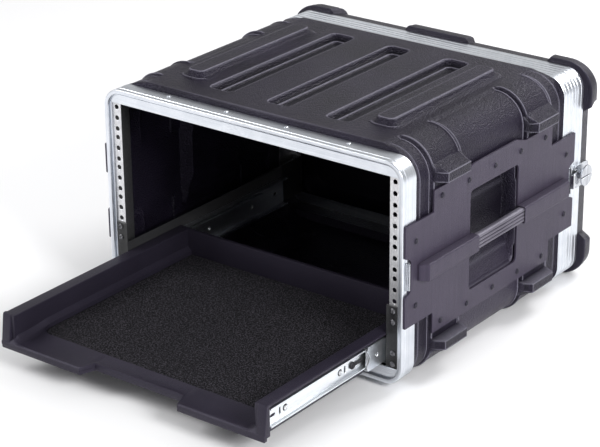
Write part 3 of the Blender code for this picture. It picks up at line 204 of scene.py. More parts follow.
def bothSides(name, surface, material, body, node, sharp=35):
    # a right-hand piece and its mirror image; {} in the names is the side
    for side, shape in (("r", surface), ("l", mirrored(surface))):
        nodes = [n.format(side) for n in node]
        makePiece(name + ("Right" if side == "r" else "Left"), shape, material,
                  body.format(side), nodes, sharp)


def softStep(distance, width):
    # 0 below 0, 1 past width, an eased ramp between them
    t = np.clip(distance / width, 0, 1)
    return t + 0.5 * (t * t * (3 - 2 * t) - t)


def bell(distance, width, power=2):
    # 1 at 0, falling away smoothly past width; a higher power gives a flatter top
    return np.exp(-(distance / width) ** power)


def ringAt(loop, y):
    # a loop of (x, z) points stood up at one depth
    return np.stack([loop[:, 0], np.full(len(loop), y), loop[:, 1]], -1)


def insideOf(a, halfA, b, halfB, corner):
    # how far a point is inside a rectangle with round corners, negative outside
    qa = np.abs(a) - halfA + corner
    qb = np.abs(b) - halfB + corner
    out = np.hypot(np.maximum(qa, 0), np.maximum(qb, 0)) + np.minimum(np.maximum(qa, qb), 0)
    return corner - out


def lines(*stretches):
    # sorted grid lines from (start, end, count) stretches
    return np.unique(np.round(np.concatenate([np.linspace(a, b, n) for a, b, n in stretches]), 7))


def halfLoop(place, halfW, halfH, corner):
    # right half of a rounded rectangle, from top centre to bottom centre; place runs 0..5 over
    # the top, the upper corner, the side, the lower corner and the bottom
    part = np.clip(place.astype(int), 0, 4)
    t = place - part
    flatX, flatZ = halfW - corner, halfH - corner
    turn = t * math.pi / 2
    x = np.select([part == 0, part == 1, part == 2, part == 3],
                  [t * flatX, flatX + corner * np.sin(turn), halfW + 0 * t, flatX + corner * np.cos(turn)],
                  flatX * (1 - t))
    z = np.select([part == 0, part == 1, part == 2, part == 3],
                  [halfH + 0 * t, flatZ + corner * np.cos(turn), flatZ * (1 - 2 * t),
                   -flatZ - corner * np.sin(turn)], -halfH + 0 * t)
    nx = np.select([part == 0, part == 1, part == 2, part == 3],
                   [0 * t, np.sin(turn), 1 + 0 * t, np.cos(turn)], 0 * t)
    nz = np.select([part == 0, part == 1, part == 2, part == 3],
                   [1 + 0 * t, np.cos(turn), 0 * t, -np.sin(turn)], -1 + 0 * t)
    return np.stack([x, z], -1), np.stack([nx, nz], -1)


def wholeLoop(half):
    # closes a right half with its mirror image: (..., n, 3) to (..., 2n - 2, 3)
    left = half[:, 1:-1][:, ::-1] * (-1, 1, 1)
    return np.concatenate([half, left], axis=1)


def carriedRound(profile, halfW, halfH, corner, steps=14):
    # a closed profile of (y, inset) pairs carried round a rounded rectangle: each ring is the
    # loop moved inwards by its inset
    place = lines((0, 1, 4), (1, 2, steps), (2, 3, 4), (3, 4, steps), (4, 5, 4))
    rings = []
    for y, inset in profile:
        loop, _ = halfLoop(place, halfW - inset, halfH - inset, max(corner - inset, 0.0008))
        rings.append(ringAt(loop, y))
    return gridSurface(wholeLoop(np.array(rings)), closeRows=True, closeColumns=True)


def carriedAlong(profile, axis, stations):
    # a closed profile of pairs carried straight along an axis, with flat ends; stations is a
    # list of (place, scale about centre or 1)
    profile = np.array(profile, float)
    centre = profile.mean(0)
    rings = []
    for place, scale in stations:
        flat = centre + (profile - centre) * scale
        column = np.full(len(flat), place)
        order = {"x": (column, flat[:, 0], flat[:, 1]), "y": (flat[:, 0], column, flat[:, 1]),
                 "z": (flat[:, 0], flat[:, 1], column)}[axis]
        rings.append(np.stack(order, -1))
    return gridSurface(np.array(rings), closeColumns=True, capRows=True)


def roundedProfile(corners, radius, steps=3):
    # a closed polygon whose corners are rounded by arcs of one radius
    corners = np.array(corners, float)
    out = []
    for n, corner in enumerate(corners):
        before, after = corners[n - 1], corners[(n + 1) % len(corners)]
        a, b = before - corner, after - corner
        lengthA, lengthB = np.linalg.norm(a), np.linalg.norm(b)
        cut = min(radius, 0.45 * lengthA, 0.45 * lengthB)
        start, end = corner + a / lengthA * cut, corner + b / lengthB * cut
        t = np.linspace(0, 1, steps + 1)[:, None]
        out.append((1 - t) ** 2 * start + 2 * t * (1 - t) * corner + t ** 2 * end)
    return np.vstack(out)


def turned(profile, centre, axis, sides=20):
    # a profile of (radius, height) pairs turned round an axis
    spin = np.linspace(0, 2 * math.pi, sides, endpoint=False)
    radius = np.array([p[0] for p in profile])[:, None]
    height = np.array([p[1] for p in profile])[:, None]
    rings = np.stack([radius * np.cos(spin), radius * np.sin(spin), height + 0 * spin], -1)
    frameTurn = np.array(Vector((0, 0, 1)).rotation_difference(Vector(axis)).to_matrix())
    return gridSurface(rings @ frameTurn.T + np.array(centre), closeColumns=True, capRows=True)


# ---------- materials ----------
def newMaterial(name):
    material = bpy.data.materials.new(name)
    material.use_nodes = True
    tree = material.node_tree
    return material, tree, tree.nodes["Principled BSDF"]


def addNode(tree, kind, **values):
    node = tree.nodes.new(kind)
    for key, value in values.items():
        if key in node.inputs:
            node.inputs[key].default_value = value
        else:
            setattr(node, key, value)
    return node


def objectPattern(tree, kind, scale, stretch=(1, 1, 1), source="Object", **values):
    # a noise or Voronoi pattern on the object's own metres, or on the surface's UV map
    place = addNode(tree, "ShaderNodeTexCoord")
    mapping = addNode(tree, "ShaderNodeMapping")
    mapping.inputs["Scale"].default_value = stretch
    tree.links.new(place.outputs[source], mapping.inputs["Vector"])
    pattern = addNode(tree, kind, **values)
    pattern.inputs["Scale"].default_value = scale
    tree.links.new(mapping.outputs["Vector"], pattern.inputs["Vector"])
    return pattern


def spread(tree, value, low, high, fromLow=0.0, fromHigh=1.0):
    # remaps a pattern's range
    node = addNode(tree, "ShaderNodeMapRange")
    for key, amount in (("From Min", fromLow), ("From Max", fromHigh), ("To Min", low), ("To Max", high)):
        node.inputs[key].default_value = amount
    tree.links.new(value, node.inputs["Value"])
    return node.outputs["Result"]


def blendColours(tree, factor, first, second):
    node = addNode(tree, "ShaderNodeMix", data_type="RGBA")
    node.inputs["A"].default_value = (*first, 1)
    node.inputs["B"].default_value = (*second, 1)
    tree.links.new(factor, node.inputs["Factor"])
    return node.outputs["Result"]


def overlaid(tree, colour, factor, second):
    # a second colour laid over the first where the factor says
    node = addNode(tree, "ShaderNodeMix", data_type="RGBA")
    node.inputs["B"].default_value = (*second, 1)
    tree.links.new(factor, node.inputs["Factor"])
    tree.links.new(colour, node.inputs["A"])
    return node.outputs["Result"]


def addBump(tree, shader, heights, strength, distance):
    # adds up the height patterns and bends the shading normal by them
    total = heights[0]
    for extra in heights[1:]:
        add = addNode(tree, "ShaderNodeMath", operation="ADD")
        tree.links.new(total, add.inputs[0])
        tree.links.new(extra, add.inputs[1])
        total = add.outputs[0]
    bump = addNode(tree, "ShaderNodeBump")
    bump.inputs["Strength"].default_value = strength
    bump.inputs["Distance"].default_value = distance
    tree.links.new(total, bump.inputs["Height"])
    tree.links.new(bump.outputs["Normal"], shader.inputs["Normal"])


def wornAndSheenEdges(tree, colour, wornAndSheen, amount):
    # edges that stick out are painted paler: partly rubbed wear, partly a painted highlight
    geometry = addNode(tree, "ShaderNodeNewGeometry")
    edge = spread(tree, geometry.outputs["Pointiness"], 0.0, amount, 0.52, 0.60)
    return overlaid(tree, colour, edge, wornAndSheen)


def mouldedPlastic(name, dark, pale, wornAndSheen, roughness, grain, bumpHeight, edgeWear=0.5, upright=1.0,
                   panels=None):
    # moulded polyethylene: cells of a pebbled mould, cloudy tone, and edges painted paler as rubbed wear and
    # as a painted highlight; upright draws the cloud out into faint vertical streaks; panels is the colour of
    # the satin areas, and the tone map also paints shade into hollows and a highlight onto convex edges
    material, tree, shader = newMaterial(name)
    pebble = objectPattern(tree, "ShaderNodeTexVoronoi", grain, feature="SMOOTH_F1")
    fine = objectPattern(tree, "ShaderNodeTexNoise", grain * 2.2, Detail=3.0)
    cloud = objectPattern(tree, "ShaderNodeTexNoise", 14.0, (upright, upright, 1.0), Detail=4.0)
    cells = spread(tree, pebble.outputs["Distance"], 0.0, 0.75, 0.0, 0.8)
    clouds = spread(tree, cloud.outputs["Fac"], 0.0, 0.5, 0.3, 0.7)
    mixed = addNode(tree, "ShaderNodeMath", operation="ADD", use_clamp=True)
    tree.links.new(cells, mixed.inputs[0])
    tree.links.new(clouds, mixed.inputs[1])
    colour = wornAndSheenEdges(tree, blendColours(tree, mixed.outputs[0], dark, pale), wornAndSheen, edgeWear)
    if panels:
        tone = addNode(tree, "ShaderNodeUVMap", uv_map="tone")
        parts = addNode(tree, "ShaderNodeSeparateXYZ")
        tree.links.new(tone.outputs["UV"], parts.inputs["Vector"])
        colour = overlaid(tree, colour, spread(tree, parts.outputs["X"], 0.0, 0.9), panels)
        # painted shade where the tone's first value is below 0: the body's hollows and finger pocket
        colour = overlaid(tree, colour, spread(tree, parts.outputs["X"], 0.8, 0.0, -1.0, 0.0), dark)
        # painted highlight along convex edges, from the tone's second value
        colour = overlaid(tree, colour, spread(tree, parts.outputs["Y"], 0.0, 0.6), wornAndSheen)
    tree.links.new(colour, shader.inputs["Base Color"])
    tree.links.new(spread(tree, fine.outputs["Fac"], roughness - 0.06, roughness + 0.08),
                   shader.inputs["Roughness"])
    addBump(tree, shader, [spread(tree, pebble.outputs["Distance"], 1.0, 0.0, 0.0, 0.8),
                           spread(tree, fine.outputs["Fac"], 0.0, 0.5)], 0.6, bumpHeight)
    shader.inputs["Specular IOR Level"].default_value = 0.27
    shader.inputs["Specular Tint"].default_value = (0.84, 0.80, 1.0, 1)
    return material


def brushedMetal(name, dark, pale, roughness, stretch, source, scratch):
    # drawn metal: long fine streaks in tone and height, with a few blotches
    material, tree, shader = newMaterial(name)
    streak = objectPattern(tree, "ShaderNodeTexNoise", 1.0, stretch, source, Detail=4.0)
    blotch = objectPattern(tree, "ShaderNodeTexNoise", 60.0, Detail=3.0)
    both = addNode(tree, "ShaderNodeMath", operation="MULTIPLY")
    tree.links.new(spread(tree, streak.outputs["Fac"], 0.2, 1.0, 0.3, 0.7), both.inputs[0])
    tree.links.new(spread(tree, blotch.outputs["Fac"], 0.75, 1.0, 0.35, 0.65), both.inputs[1])
    tree.links.new(blendColours(tree, both.outputs[0], dark, pale), shader.inputs["Base Color"])
    tree.links.new(spread(tree, streak.outputs["Fac"], roughness + 0.1, roughness - 0.06),
                   shader.inputs["Roughness"])
    addBump(tree, shader, [streak.outputs["Fac"]], scratch, 0.0002)
    shader.inputs["Metallic"].default_value = 1.0
    return material


def paintedSteel(name, colour, roughness, wear=0.35):
    # powder coat: orange-peel waves and small specks
    material, tree, shader = newMaterial(name)
    peel = objectPattern(tree, "ShaderNodeTexNoise", 900.0, Detail=2.0)
    speck = objectPattern(tree, "ShaderNodeTexNoise", 300.0, Detail=5.0)
    pale = tuple(min(1.0, c * 2.2 + 0.003) for c in colour)
    tone = blendColours(tree, spread(tree, speck.outputs["Fac"], 0.0, 1.0, 0.4, 0.75), colour, pale)
    # edges painted paler by pointiness: partly rubbed wear, partly a painted highlight
    tree.links.new(wornAndSheenEdges(tree, tone, (0.2, 0.2, 0.21), wear), shader.inputs["Base Color"])
    tree.links.new(spread(tree, peel.outputs["Fac"], roughness, roughness + 0.15), shader.inputs["Roughness"])
    addBump(tree, shader, [peel.outputs["Fac"]], 0.35, 0.0002)
    return material


def foamMat(name):
    # open foam: black pores between paler cell walls
    material, tree, shader = newMaterial(name)
    pores = objectPattern(tree, "ShaderNodeTexVoronoi", 420.0, feature="F1")
    fuzz = objectPattern(tree, "ShaderNodeTexNoise", 700.0, Detail=3.0)
    tone = addNode(tree, "ShaderNodeMath", operation="MULTIPLY")
    tree.links.new(spread(tree, pores.outputs["Distance"], 0.0, 1.0, 0.25, 0.75), tone.inputs[0])
    tree.links.new(spread(tree, fuzz.outputs["Fac"], 0.0, 1.6, 0.4, 0.75), tone.inputs[1])
    colour = blendColours(tree, tone.outputs[0], (0.0015, 0.0015, 0.002), (0.075, 0.070, 0.085))
    tree.links.new(colour, shader.inputs["Base Color"])
    shader.inputs["Roughness"].default_value = 0.95
    shader.inputs["Specular IOR Level"].default_value = 0.15
    addBump(tree, shader, [pores.outputs["Distance"], fuzz.outputs["Fac"]], 1.0, 0.0012)
    return material


# shell: its third colour is only the painted highlight on convex edges, and its first also paints the shade
# in the hollows
shellPlastic = mouldedPlastic("pebbledShellPlastic", (0.0010, 0.0008, 0.0020), (0.0150, 0.0120, 0.0235),
                              (0.26, 0.25, 0.31), 0.34, 560.0, 0.0019, 0.0, 1.0, (0.034, 0.0285, 0.046))
smoothPlastic = mouldedPlastic("smoothShellPlastic", (0.0040, 0.0035, 0.0065), (0.0130, 0.0115, 0.0190),
                               (0.17, 0.16, 0.21), 0.32, 900.0, 0.0008, 0.3)
platePlastic = mouldedPlastic("satinPlatePlastic", (0.0200, 0.0160, 0.0280), (0.0520, 0.0430, 0.0670),
                              (0.24, 0.22, 0.28), 0.38, 1100.0, 0.0005, 0.0, 26.0)
gripPlastic = mouldedPlastic("ridgedGripPlastic", (0.026, 0.022, 0.034), (0.048, 0.042, 0.060),
                             (0.22, 0.21, 0.25), 0.36, 1400.0, 0.0003, 0.8)
trayPlastic = mouldedPlastic("trayPlastic", (0.0130, 0.0110, 0.0185), (0.0250, 0.0215, 0.0340),
                             (0.17, 0.16, 0.21), 0.38, 1200.0, 0.0004, 0.0)
leverPlastic = mouldedPlastic("leverPlastic", (0.006, 0.006, 0.007), (0.014, 0.013, 0.016),
                              (0.05, 0.05, 0.05), 0.45, 1500.0, 0.0001)
extrusionMetal = brushedMetal("anodisedExtrusion", (0.50, 0.54, 0.60), (0.90, 0.92, 0.96), 0.30,
                              (5.0, 1800.0, 1.0), "UV", 0.25)
railSteel = brushedMetal("plainRailSteel", (0.50, 0.50, 0.52), (0.84, 0.84, 0.86), 0.36,
                         (900.0, 900.0, 260.0), "Object", 0.5)
slideSteel = brushedMetal("zincSlideSteel", (0.80, 0.84, 0.88), (0.93, 0.95, 0.98), 0.30,
                          (300.0, 6.0, 500.0), "Object", 0.08)
latchSteel = brushedMetal("nickelLatchSteel", (0.22, 0.23, 0.26), (0.78, 0.80, 0.84), 0.20,
                          (700.0, 700.0, 60.0), "Object", 0.3)
earScrewSteel = brushedMetal("blackenedScrewSteel", (0.05, 0.05, 0.055), (0.30, 0.30, 0.32), 0.28,
                             (1200.0, 1200.0, 1200.0), "Object", 0.3)
screwSteel = brushedMetal("screwSteel", (0.45, 0.46, 0.48), (0.85, 0.86, 0.88), 0.25,
                          (1200.0, 1200.0, 1200.0), "Object", 0.3)
bracketPaint = paintedSteel("blackBracketPaint", (0.004, 0.004, 0.005), 0.36)
linerFoam = foamMat("speckledFoam")
print("materials made")


# ---------- moulded body ----------
bodySizes = {
    "corner": 0.045, "valanceCorner": 0.028, "neckWall": 0.0025, "wall": 0.0038,
    "start": frontHigh[1] + sheetGap, "shoulderRun": 0.005,
    "topRise": 0.0078,            # body's top above the valance's
    "channelX": (0.0, 0.098), "channelHalf": 0.0195, "channelEnd": 0.0590, "channelDepth": 0.0085,
    "channelCorner": 0.009, "channelDraft": 0.0030,
    "slotHalf": 0.0115, "slotEnd": 0.0680, "slotDepth": 0.0030, "slotCorner": 0.007, "slotDraft": 0.0022,
    "bossX": 0.159, "bossHalf": 0.0180, "bossEnd": 0.0760, "bossRise": 0.0098, "bossDraft": 0.0050,
    "bossCorner": 0.013,
    "footMargin": 0.0068, "footReach": 0.004, "footRise": 0.0016, "footCorner": 0.016, "footDraft": 0.0022,
    # straps: where they start on the top and the bottom, and how far they take to reach full height
    "strapEdges": (0.0590, 0.1235), "strapTop": 0.198, "strapBottom": 0.190, "strapRun": 0.006,
    "panelDrop": 0.0024, "panelDraft": 0.003,
    "groove": 0.0052, "grooveAt": 0.0010, "grooveWidth": 0.0023,
    "ridge": 0.0019, "nearRidgeAt": 0.0030, "nearRidgeWidth": 0.0013,
    "farRidgeAt": 0.0052, "farRidgeWidth": 0.0012, "farRidgeShare": 0.8,
    "seam": 0.0335, "seamDepth": 0.0009, "seamWidth": 0.0007,
    "bumperStart": 0.0610, "bumperEnd": 0.1270, "bumperReach": 0.0184, "bumperLow": 0.1114,
    "bumperHigh": 0.1248, "bumperFoot": 0.1340, "bumperBase": 0.004, "bumperChamfer": 0.0075,
    "windowHalfY": 0.0588, "windowHalfZ": 0.0713, "pocketDepth": 0.0190, "pocketCorner": 0.007,
    "pocketDraft": 0.006, "pocketSlope": 0.058, "pocketSill": 0.16,
    "nestHalf": 0.0200, "nestEnd": 0.0750, "nestDepth": 0.0120, "nestCorner": 0.004, "nestDraft": 0.002,
}


def bodyShell():
    # outer skin: the loop (x, z) at depth y is moved along its normal by the sum of the relief
    # fields, and its sides are pulled out in x where a bumper stands
    s = bodySizes
    halfZ = valanceZ + s["topRise"]
    mid = caseDepth / 2
    flatX, flatZ = sideX - s["corner"], halfZ - s["corner"]
    # grid lines as (start, end, count) stretches, closest together where an edge runs
    topX = [(0, 0.026, 27), (0.026, 0.070, 5), (0.070, 0.126, 45), (0.126, 0.139, 4), (0.139, 0.180, 34),
            (0.180, flatX, 8)]
    sideZ = lines((flatZ, s["bumperLow"] + 0.0002, 4), (s["bumperLow"] - 0.0002, s["bumperLow"] - 0.006, 4),
                  (s["bumperLow"] - 0.006, 0.078, 5), (0.0722, 0.060, 9), (0.060, -0.060, 26),
                  (-0.060, -0.0722, 9))
    edges = np.array([s["bumperHigh"], s["bumperHigh"] + 0.0012, s["bumperFoot"], s["bumperFoot"] + 0.0003])
    arc = np.arccos((edges - flatZ) / s["corner"]) / (math.pi / 2)
    sideZ = np.unique(np.concatenate([sideZ, -sideZ]))[::-1]
    bottomX = lines((0, 0.137, 6), (0.137, 0.143, 4), (0.143, 0.175, 5), (0.175, 0.181, 4), (0.181, flatX, 3))
    place = np.unique(np.concatenate([
        lines(*topX) / flatX, 1 + np.linspace(0, 1, 40), 1 + arc, 2 + (flatZ - sideZ) / (2 * flatZ),
        3 + np.linspace(0, 1, 32), 4 - arc, 4 + (flatX - bottomX) / flatX]).clip(0, 5))
    ends = [(s["start"], s["start"] + s["shoulderRun"], 6), (s["start"] + s["shoulderRun"], 0.031, 4),
            (0.031, 0.036, 8), (0.036, 0.0435, 3), (0.0435, 0.0485, 8), (0.0485, 0.052, 2),
            (0.052, 0.086, 46), (0.086, 0.114, 8), (0.114, 0.134, 30), (0.134, mid, 14)]
    near = lines(*ends)
    window = mid - s["windowHalfY"]
    near = np.unique(np.concatenate([near, window + np.linspace(-0.001, 0.009, 9)]))
    depth = np.unique(np.concatenate([near, caseDepth - near]))
    y = depth[:, None]
    loop, normal = halfLoop(place, sideX, halfZ, s["corner"])
    x0, z0, nx, nz = loop[:, 0], loop[:, 1], normal[:, 0], normal[:, 1]
    onTop = place <= 1.0
    fromEnd = np.minimum(y, caseDepth - y)
    relief = np.zeros((len(depth), len(place)))
    # channels with a narrower slot in their floors
    for centre in s["channelX"]:
        inside = insideOf(x0 - centre, s["channelHalf"], y - mid, mid - s["channelEnd"], s["channelCorner"])
        slot = insideOf(x0 - centre, s["slotHalf"], y - mid, mid - s["slotEnd"], s["slotCorner"])
        relief -= onTop * (s["channelDepth"] * softStep(inside, s["channelDraft"])
                           + s["slotDepth"] * softStep(slot, s["slotDraft"]))
    # stacking bosses, their ends more gently sloped than their sides
    boss = insideOf(x0 - s["bossX"], s["bossHalf"], y - mid, mid - s["bossEnd"], s["bossCorner"])
    foot = insideOf(x0 - s["bossX"], s["bossHalf"] + s["footMargin"],
                    y - mid, mid - s["bossEnd"] + s["footReach"], s["footCorner"])
    relief += onTop * ((s["bossRise"] - s["footRise"]) * softStep(boss, s["bossDraft"])
                       + s["footRise"] * softStep(foot, s["footDraft"]))
    # straps over the bumpers, with a ridge and a groove along each edge
    upper = (place > 0.9) & (place < 2.3)
    lower = place > 2.7
    first, last = s["strapEdges"]
    panel = softStep(fromEnd - last, s["panelDraft"]) + softStep(first - fromEnd, s["panelDraft"])
    for strip, begin in ((upper, s["strapTop"]), (lower, s["strapBottom"])):
        run = np.where(strip, np.clip((x0 - begin) / s["strapRun"], 0, 1), 0)
        relief -= run * s["panelDrop"] * panel
        for edge, out, share in ((first, -1, 0.55), (last, 1, 1.0)):
            across = (fromEnd - edge) * out
            groove = bell(across - s["grooveAt"], s["grooveWidth"], 4)
            ridges = bell(across + s["nearRidgeAt"], s["nearRidgeWidth"])
            ridges = ridges + s["farRidgeShare"] * bell(across - s["farRidgeAt"], s["farRidgeWidth"])
            relief += run * share * (s["ridge"] * ridges - s["groove"] * groove)
        # thin moulding seam round the front and rear corners
        relief -= run * s["seamDepth"] * bell(fromEnd - s["seam"], s["seamWidth"])
    # nests under the case for the bosses of the next one
    nest = insideOf(x0 - s["bossX"], s["nestHalf"], y - mid, mid - s["nestEnd"], s["nestCorner"])
    relief -= (place >= 4) * s["nestDepth"] * softStep(nest, s["nestDraft"])
    x = x0 + nx * relief
    z = np.maximum(z0 + nz * relief, -halfZ)           # nothing stands below the case's flat base
    # finger pocket: steep sides, a deep floor and a slope that comes up below
    onSide = (place >= 2) * (place <= 3)
    pocket = insideOf(y - mid, s["windowHalfY"], z0, s["windowHalfZ"], s["pocketCorner"])
    climb = (z0 + s["windowHalfZ"] + s["pocketDraft"]) / s["pocketSlope"]
    pocketFloor = s["pocketDepth"] * np.clip(climb, s["pocketSill"], 1)
    pocketFall = onSide * np.minimum(pocketFloor, s["pocketDepth"] * softStep(pocket, s["pocketDraft"]))
    x = x - pocketFall
    # bumpers: level below, sloping up and in above, ends drawn in by a slanted chamfer
    tall = np.abs(z0)
    slope = np.clip((s["bumperFoot"] - tall) / (s["bumperFoot"] - s["bumperHigh"]), 0, 1.0)
    face = sideX - s["bumperBase"] + (s["bumperReach"] + s["bumperBase"]) * slope
    face = np.where((tall >= s["bumperLow"] - 1e-6) & (tall <= s["bumperFoot"] + 1e-6), face, 0)
    bumperMid = (s["bumperStart"] + s["bumperEnd"]) / 2
    bumperHalf = (s["bumperEnd"] - s["bumperStart"]) / 2
    reach = np.clip((bumperHalf - np.abs(fromEnd - bumperMid)) / s["bumperChamfer"], 0, 1)
    onBumper = np.abs(fromEnd - bumperMid) <= bumperHalf + 1e-6
    bumper = np.where(onBumper & (face > 0), sideX + (face - sideX) * (0.30 + 0.70 * reach), 0)
    x = np.maximum(x, np.where((place > 1) & (place < 4), bumper, 0))
    outer = np.stack([x, y + 0 * x, z], -1)
    # front and rear necks under the valances
    neck = s["neckWall"]
    thin = neck + s["wall"]
    neckLoop, _ = halfLoop(place, sideX - neck, valanceZ - neck, s["valanceCorner"] - neck)
    stepLoop, _ = halfLoop(place, sideX - 0.0004, valanceZ, s["valanceCorner"])
    thinLoop, _ = halfLoop(place, sideX - thin, valanceZ - thin, s["valanceCorner"] - thin)

    # the shoulder rises from the valance's level to the body's, as a quarter round
    rise = np.clip((fromEnd - s["start"]) / s["shoulderRun"], 0, 1)
    rise = np.sqrt(1 - (1 - rise) ** 2)[..., None]
    step = np.repeat(ringAt(stepLoop, 0.0)[None], len(depth), 0)
    step[..., 1] = y
    outer = step + (outer - step) * rise
    front = [ringAt(neckLoop, sheetGap), ringAt(neckLoop, s["start"] - 0.0001)]
    back = [ringAt(neckLoop, caseDepth - s["start"] + 0.0001), ringAt(neckLoop, caseDepth - sheetGap)]
    # inner skin: below the outer one by the wall, following its hollows but not its bumpers
    innerY = lines((s["start"] + 0.010, 0.052, 3), (0.055, 0.075, 6), (0.075, window - 0.004, 4),
                   (window - 0.004, window + 0.006, 5), (window + 0.006, mid, 5))
    innerY = np.unique(np.concatenate([innerY, caseDepth - innerY]))
    pick = np.array([np.argmin(np.abs(depth - at)) for at in innerY])
    down = np.minimum(relief[pick], 0) - s["wall"]
    innerX = x0 + nx * down - pocketFall[pick]
    inner = np.stack([innerX, depth[pick][:, None] + 0 * innerX, z0 + nz * down], -1)
    rings = np.concatenate([front, outer, back, [ringAt(thinLoop, caseDepth - sheetGap)],
                            [ringAt(thinLoop, caseDepth - s["start"] - 0.004)], inner[::-1],
                            [ringAt(thinLoop, s["start"] + 0.004)], [ringAt(thinLoop, sheetGap)]])
    # tone maps: the lower shoulder is satin (above 0); the hollows and the finger pocket get painted shade
    # (below 0)
    # painted highlight: the convex edges of channels, bosses and straps are painted pale
    edge = convexEdges(outer, np.stack([nx, 0 * nx, nz], -1)[None])
    between = softStep(fromEnd - s["strapEdges"][1], 0.004)
    satinAndShade = between * np.clip((place - 2.6) / 0.1, 0, 1) * (place < 4)
    # painted shade: darker in the channels, slots, strap grooves and nests, and in the finger pocket
    hollowShade = np.clip((-relief - 0.0027) / 0.004, 0, 1)
    satinAndShade = satinAndShade - np.maximum(hollowShade, 0.75 * np.clip(pocketFall / 0.016, 0, 1))

    def finishAndLightMap(field):
        # the outer skin's values, nothing on the other rings, and their mirror image on the left
        after = len(rings) - len(depth) - len(front)
        padded = np.pad(field, ((len(front), after), (0, 0)))
        return np.concatenate([padded, padded[:, 1:-1][:, ::-1]], axis=1)

    surface = gridSurface(wholeLoop(rings), closeRows=True, closeColumns=True)
    surface = withTone(surface, finishAndLightMap(satinAndShade), finishAndLightMap(edge))
    makePiece("bodyShell", surface, shellPlastic, "case", ["body_shell"], 42)


bodyShell()
print("body shell made")


# ---------- aluminium extrusions ----------
valanceSizes = {"wall": 0.0022, "bead": 0.0064, "beadFront": 0.0060, "lip": 0.0018, "flange": 0.0230,
                "corner": 0.028, "break": 0.0012, "line": 0.0006, "groove": 0.0011, "ledge": 0.0095}


def drawnLine(at, way):
    # a shallow line pressed along an extrusion, as (y, inset) points; way is the side it starts on
    half, floorHalf, groove = 0.0011, 0.0005, valanceSizes["line"]
    return [(at + way * half, 0.0), (at + way * floorHalf, groove),
            (at - way * floorHalf, groove), (at - way * half, 0.0)]


def valanceProfile(marks):
    # (y, inset) round the section: flange with drawn lines, rounded bead, groove, flat lip
    v = valanceSizes
    turn = np.linspace(0, math.pi / 2, 5)
    nose = [(-v["beadFront"] + v["break"] * (1 - math.sin(a)), v["break"] * (1 - math.cos(a))) for a in turn]
    profile = [(v["flange"], 0.0006), (v["flange"] - 0.0006, 0.0)]
    for at in marks:
        profile += drawnLine(at, 1)
    profile += nose
    profile += [(-v["beadFront"], v["bead"] - 0.0016), (-v["beadFront"] + 0.0004, v["bead"] - 0.0006),
                (-v["beadFront"] + 0.0012, v["bead"]), (-v["groove"], v["bead"] + 0.0002),
                (-v["groove"], v["bead"] + 0.0016), (-v["lip"] - 0.0004, v["bead"] + 0.0019)]
    return profile


def caseValance(name, node, rear):
    v = valanceSizes
    outer = valanceProfile((0.0185, 0.0105, 0.0020) if rear else (0.0015,))
    back = [(0.0, v["wall"]), (v["flange"], v["wall"])]
    place = lines((0, 1, 6), (1, 2, 42), (2, 3, 6), (3, 4, 42), (4, 5, 6))
    lipX = openingHalfW + 0.0148

    def ring(y, halfW, halfH, corner):
        loop, _ = halfLoop(place, halfW, halfH, corner)
        return ringAt(loop, caseDepth - y if rear else y)

    rings = [ring(y, sideX - i, valanceZ - i, v["corner"] - i) for y, i in outer]
    rings.append(ring(-v["lip"] - 0.0004, lipX, openingHalfH + 0.0006, 0.0010))
    rings.append(ring(-v["lip"] + 0.0004, lipX, openingHalfH, 0.0010))
    rings.append(ring(0.0, lipX, openingHalfH, 0.0010))
    rings += [ring(y, sideX - i, valanceZ - i, v["corner"] - i) for y, i in back]
    surface = gridSurface(wholeLoop(np.array(rings)), closeRows=True, closeColumns=True)
    makePiece(name, surface, extrusionMetal, "case", [node], 30)


def lidValance():
    v = valanceSizes
    low, high = caseBox("lid_valance")
    near, far = low[1], high[1]
    profile = [(near, v["ledge"]), (near, 0.0008), (near + 0.0008, 0.0)]
    profile += drawnLine(near + 0.0070, -1) + drawnLine(near + 0.0160, -1)
    profile += [(far - 0.0006, 0.0), (far, 0.0006), (far, v["wall"]), (near + v["wall"], v["wall"]),
                (near + v["wall"], v["ledge"])]
    surface = carriedRound(profile, sideX, high[2], v["corner"], 42)
    makePiece("lidValance", surface, extrusionMetal, "lid", ["lid_valance"], 30)


caseValance("frontValance", "front_valance", False)
caseValance("rearValance", "rear_valance", True)
lidValance()
print("valances made")


# ---------- drilled sheets: rails and slide members ----------
def holeLoop(halfA, halfB, count):
    # a slot, or a circle where both halves are equal, by angle: the nearer of the straight
    # sides and the round ends
    angle = np.linspace(0, 2 * math.pi, count, endpoint=False) + math.pi / 4
    a, b = np.cos(angle), np.sin(angle)
    radius = min(halfA, halfB)
    extra = np.array([max(halfA - radius, 0), max(halfB - radius, 0)])
    return np.stack([a * radius + np.sign(np.round(a, 9)) * extra[0],
                     b * radius + np.sign(np.round(b, 9)) * extra[1]], -1)


def cellLoop(lowA, highA, lowB, highB, count):
    # the cell's edge with as many points as its hole, starting at the upper right corner
    quarter = count // 4
    t = np.arange(quarter) / quarter
    top = np.stack([highA + (lowA - highA) * t, np.full(quarter, highB)], -1)
    left = np.stack([np.full(quarter, lowA), highB + (lowB - highB) * t], -1)
    bottom = np.stack([lowA + (highA - lowA) * t, np.full(quarter, lowB)], -1)
    right = np.stack([np.full(quarter, highA), lowB + (highB - lowB) * t], -1)
    return np.vstack([top, left, bottom, right])


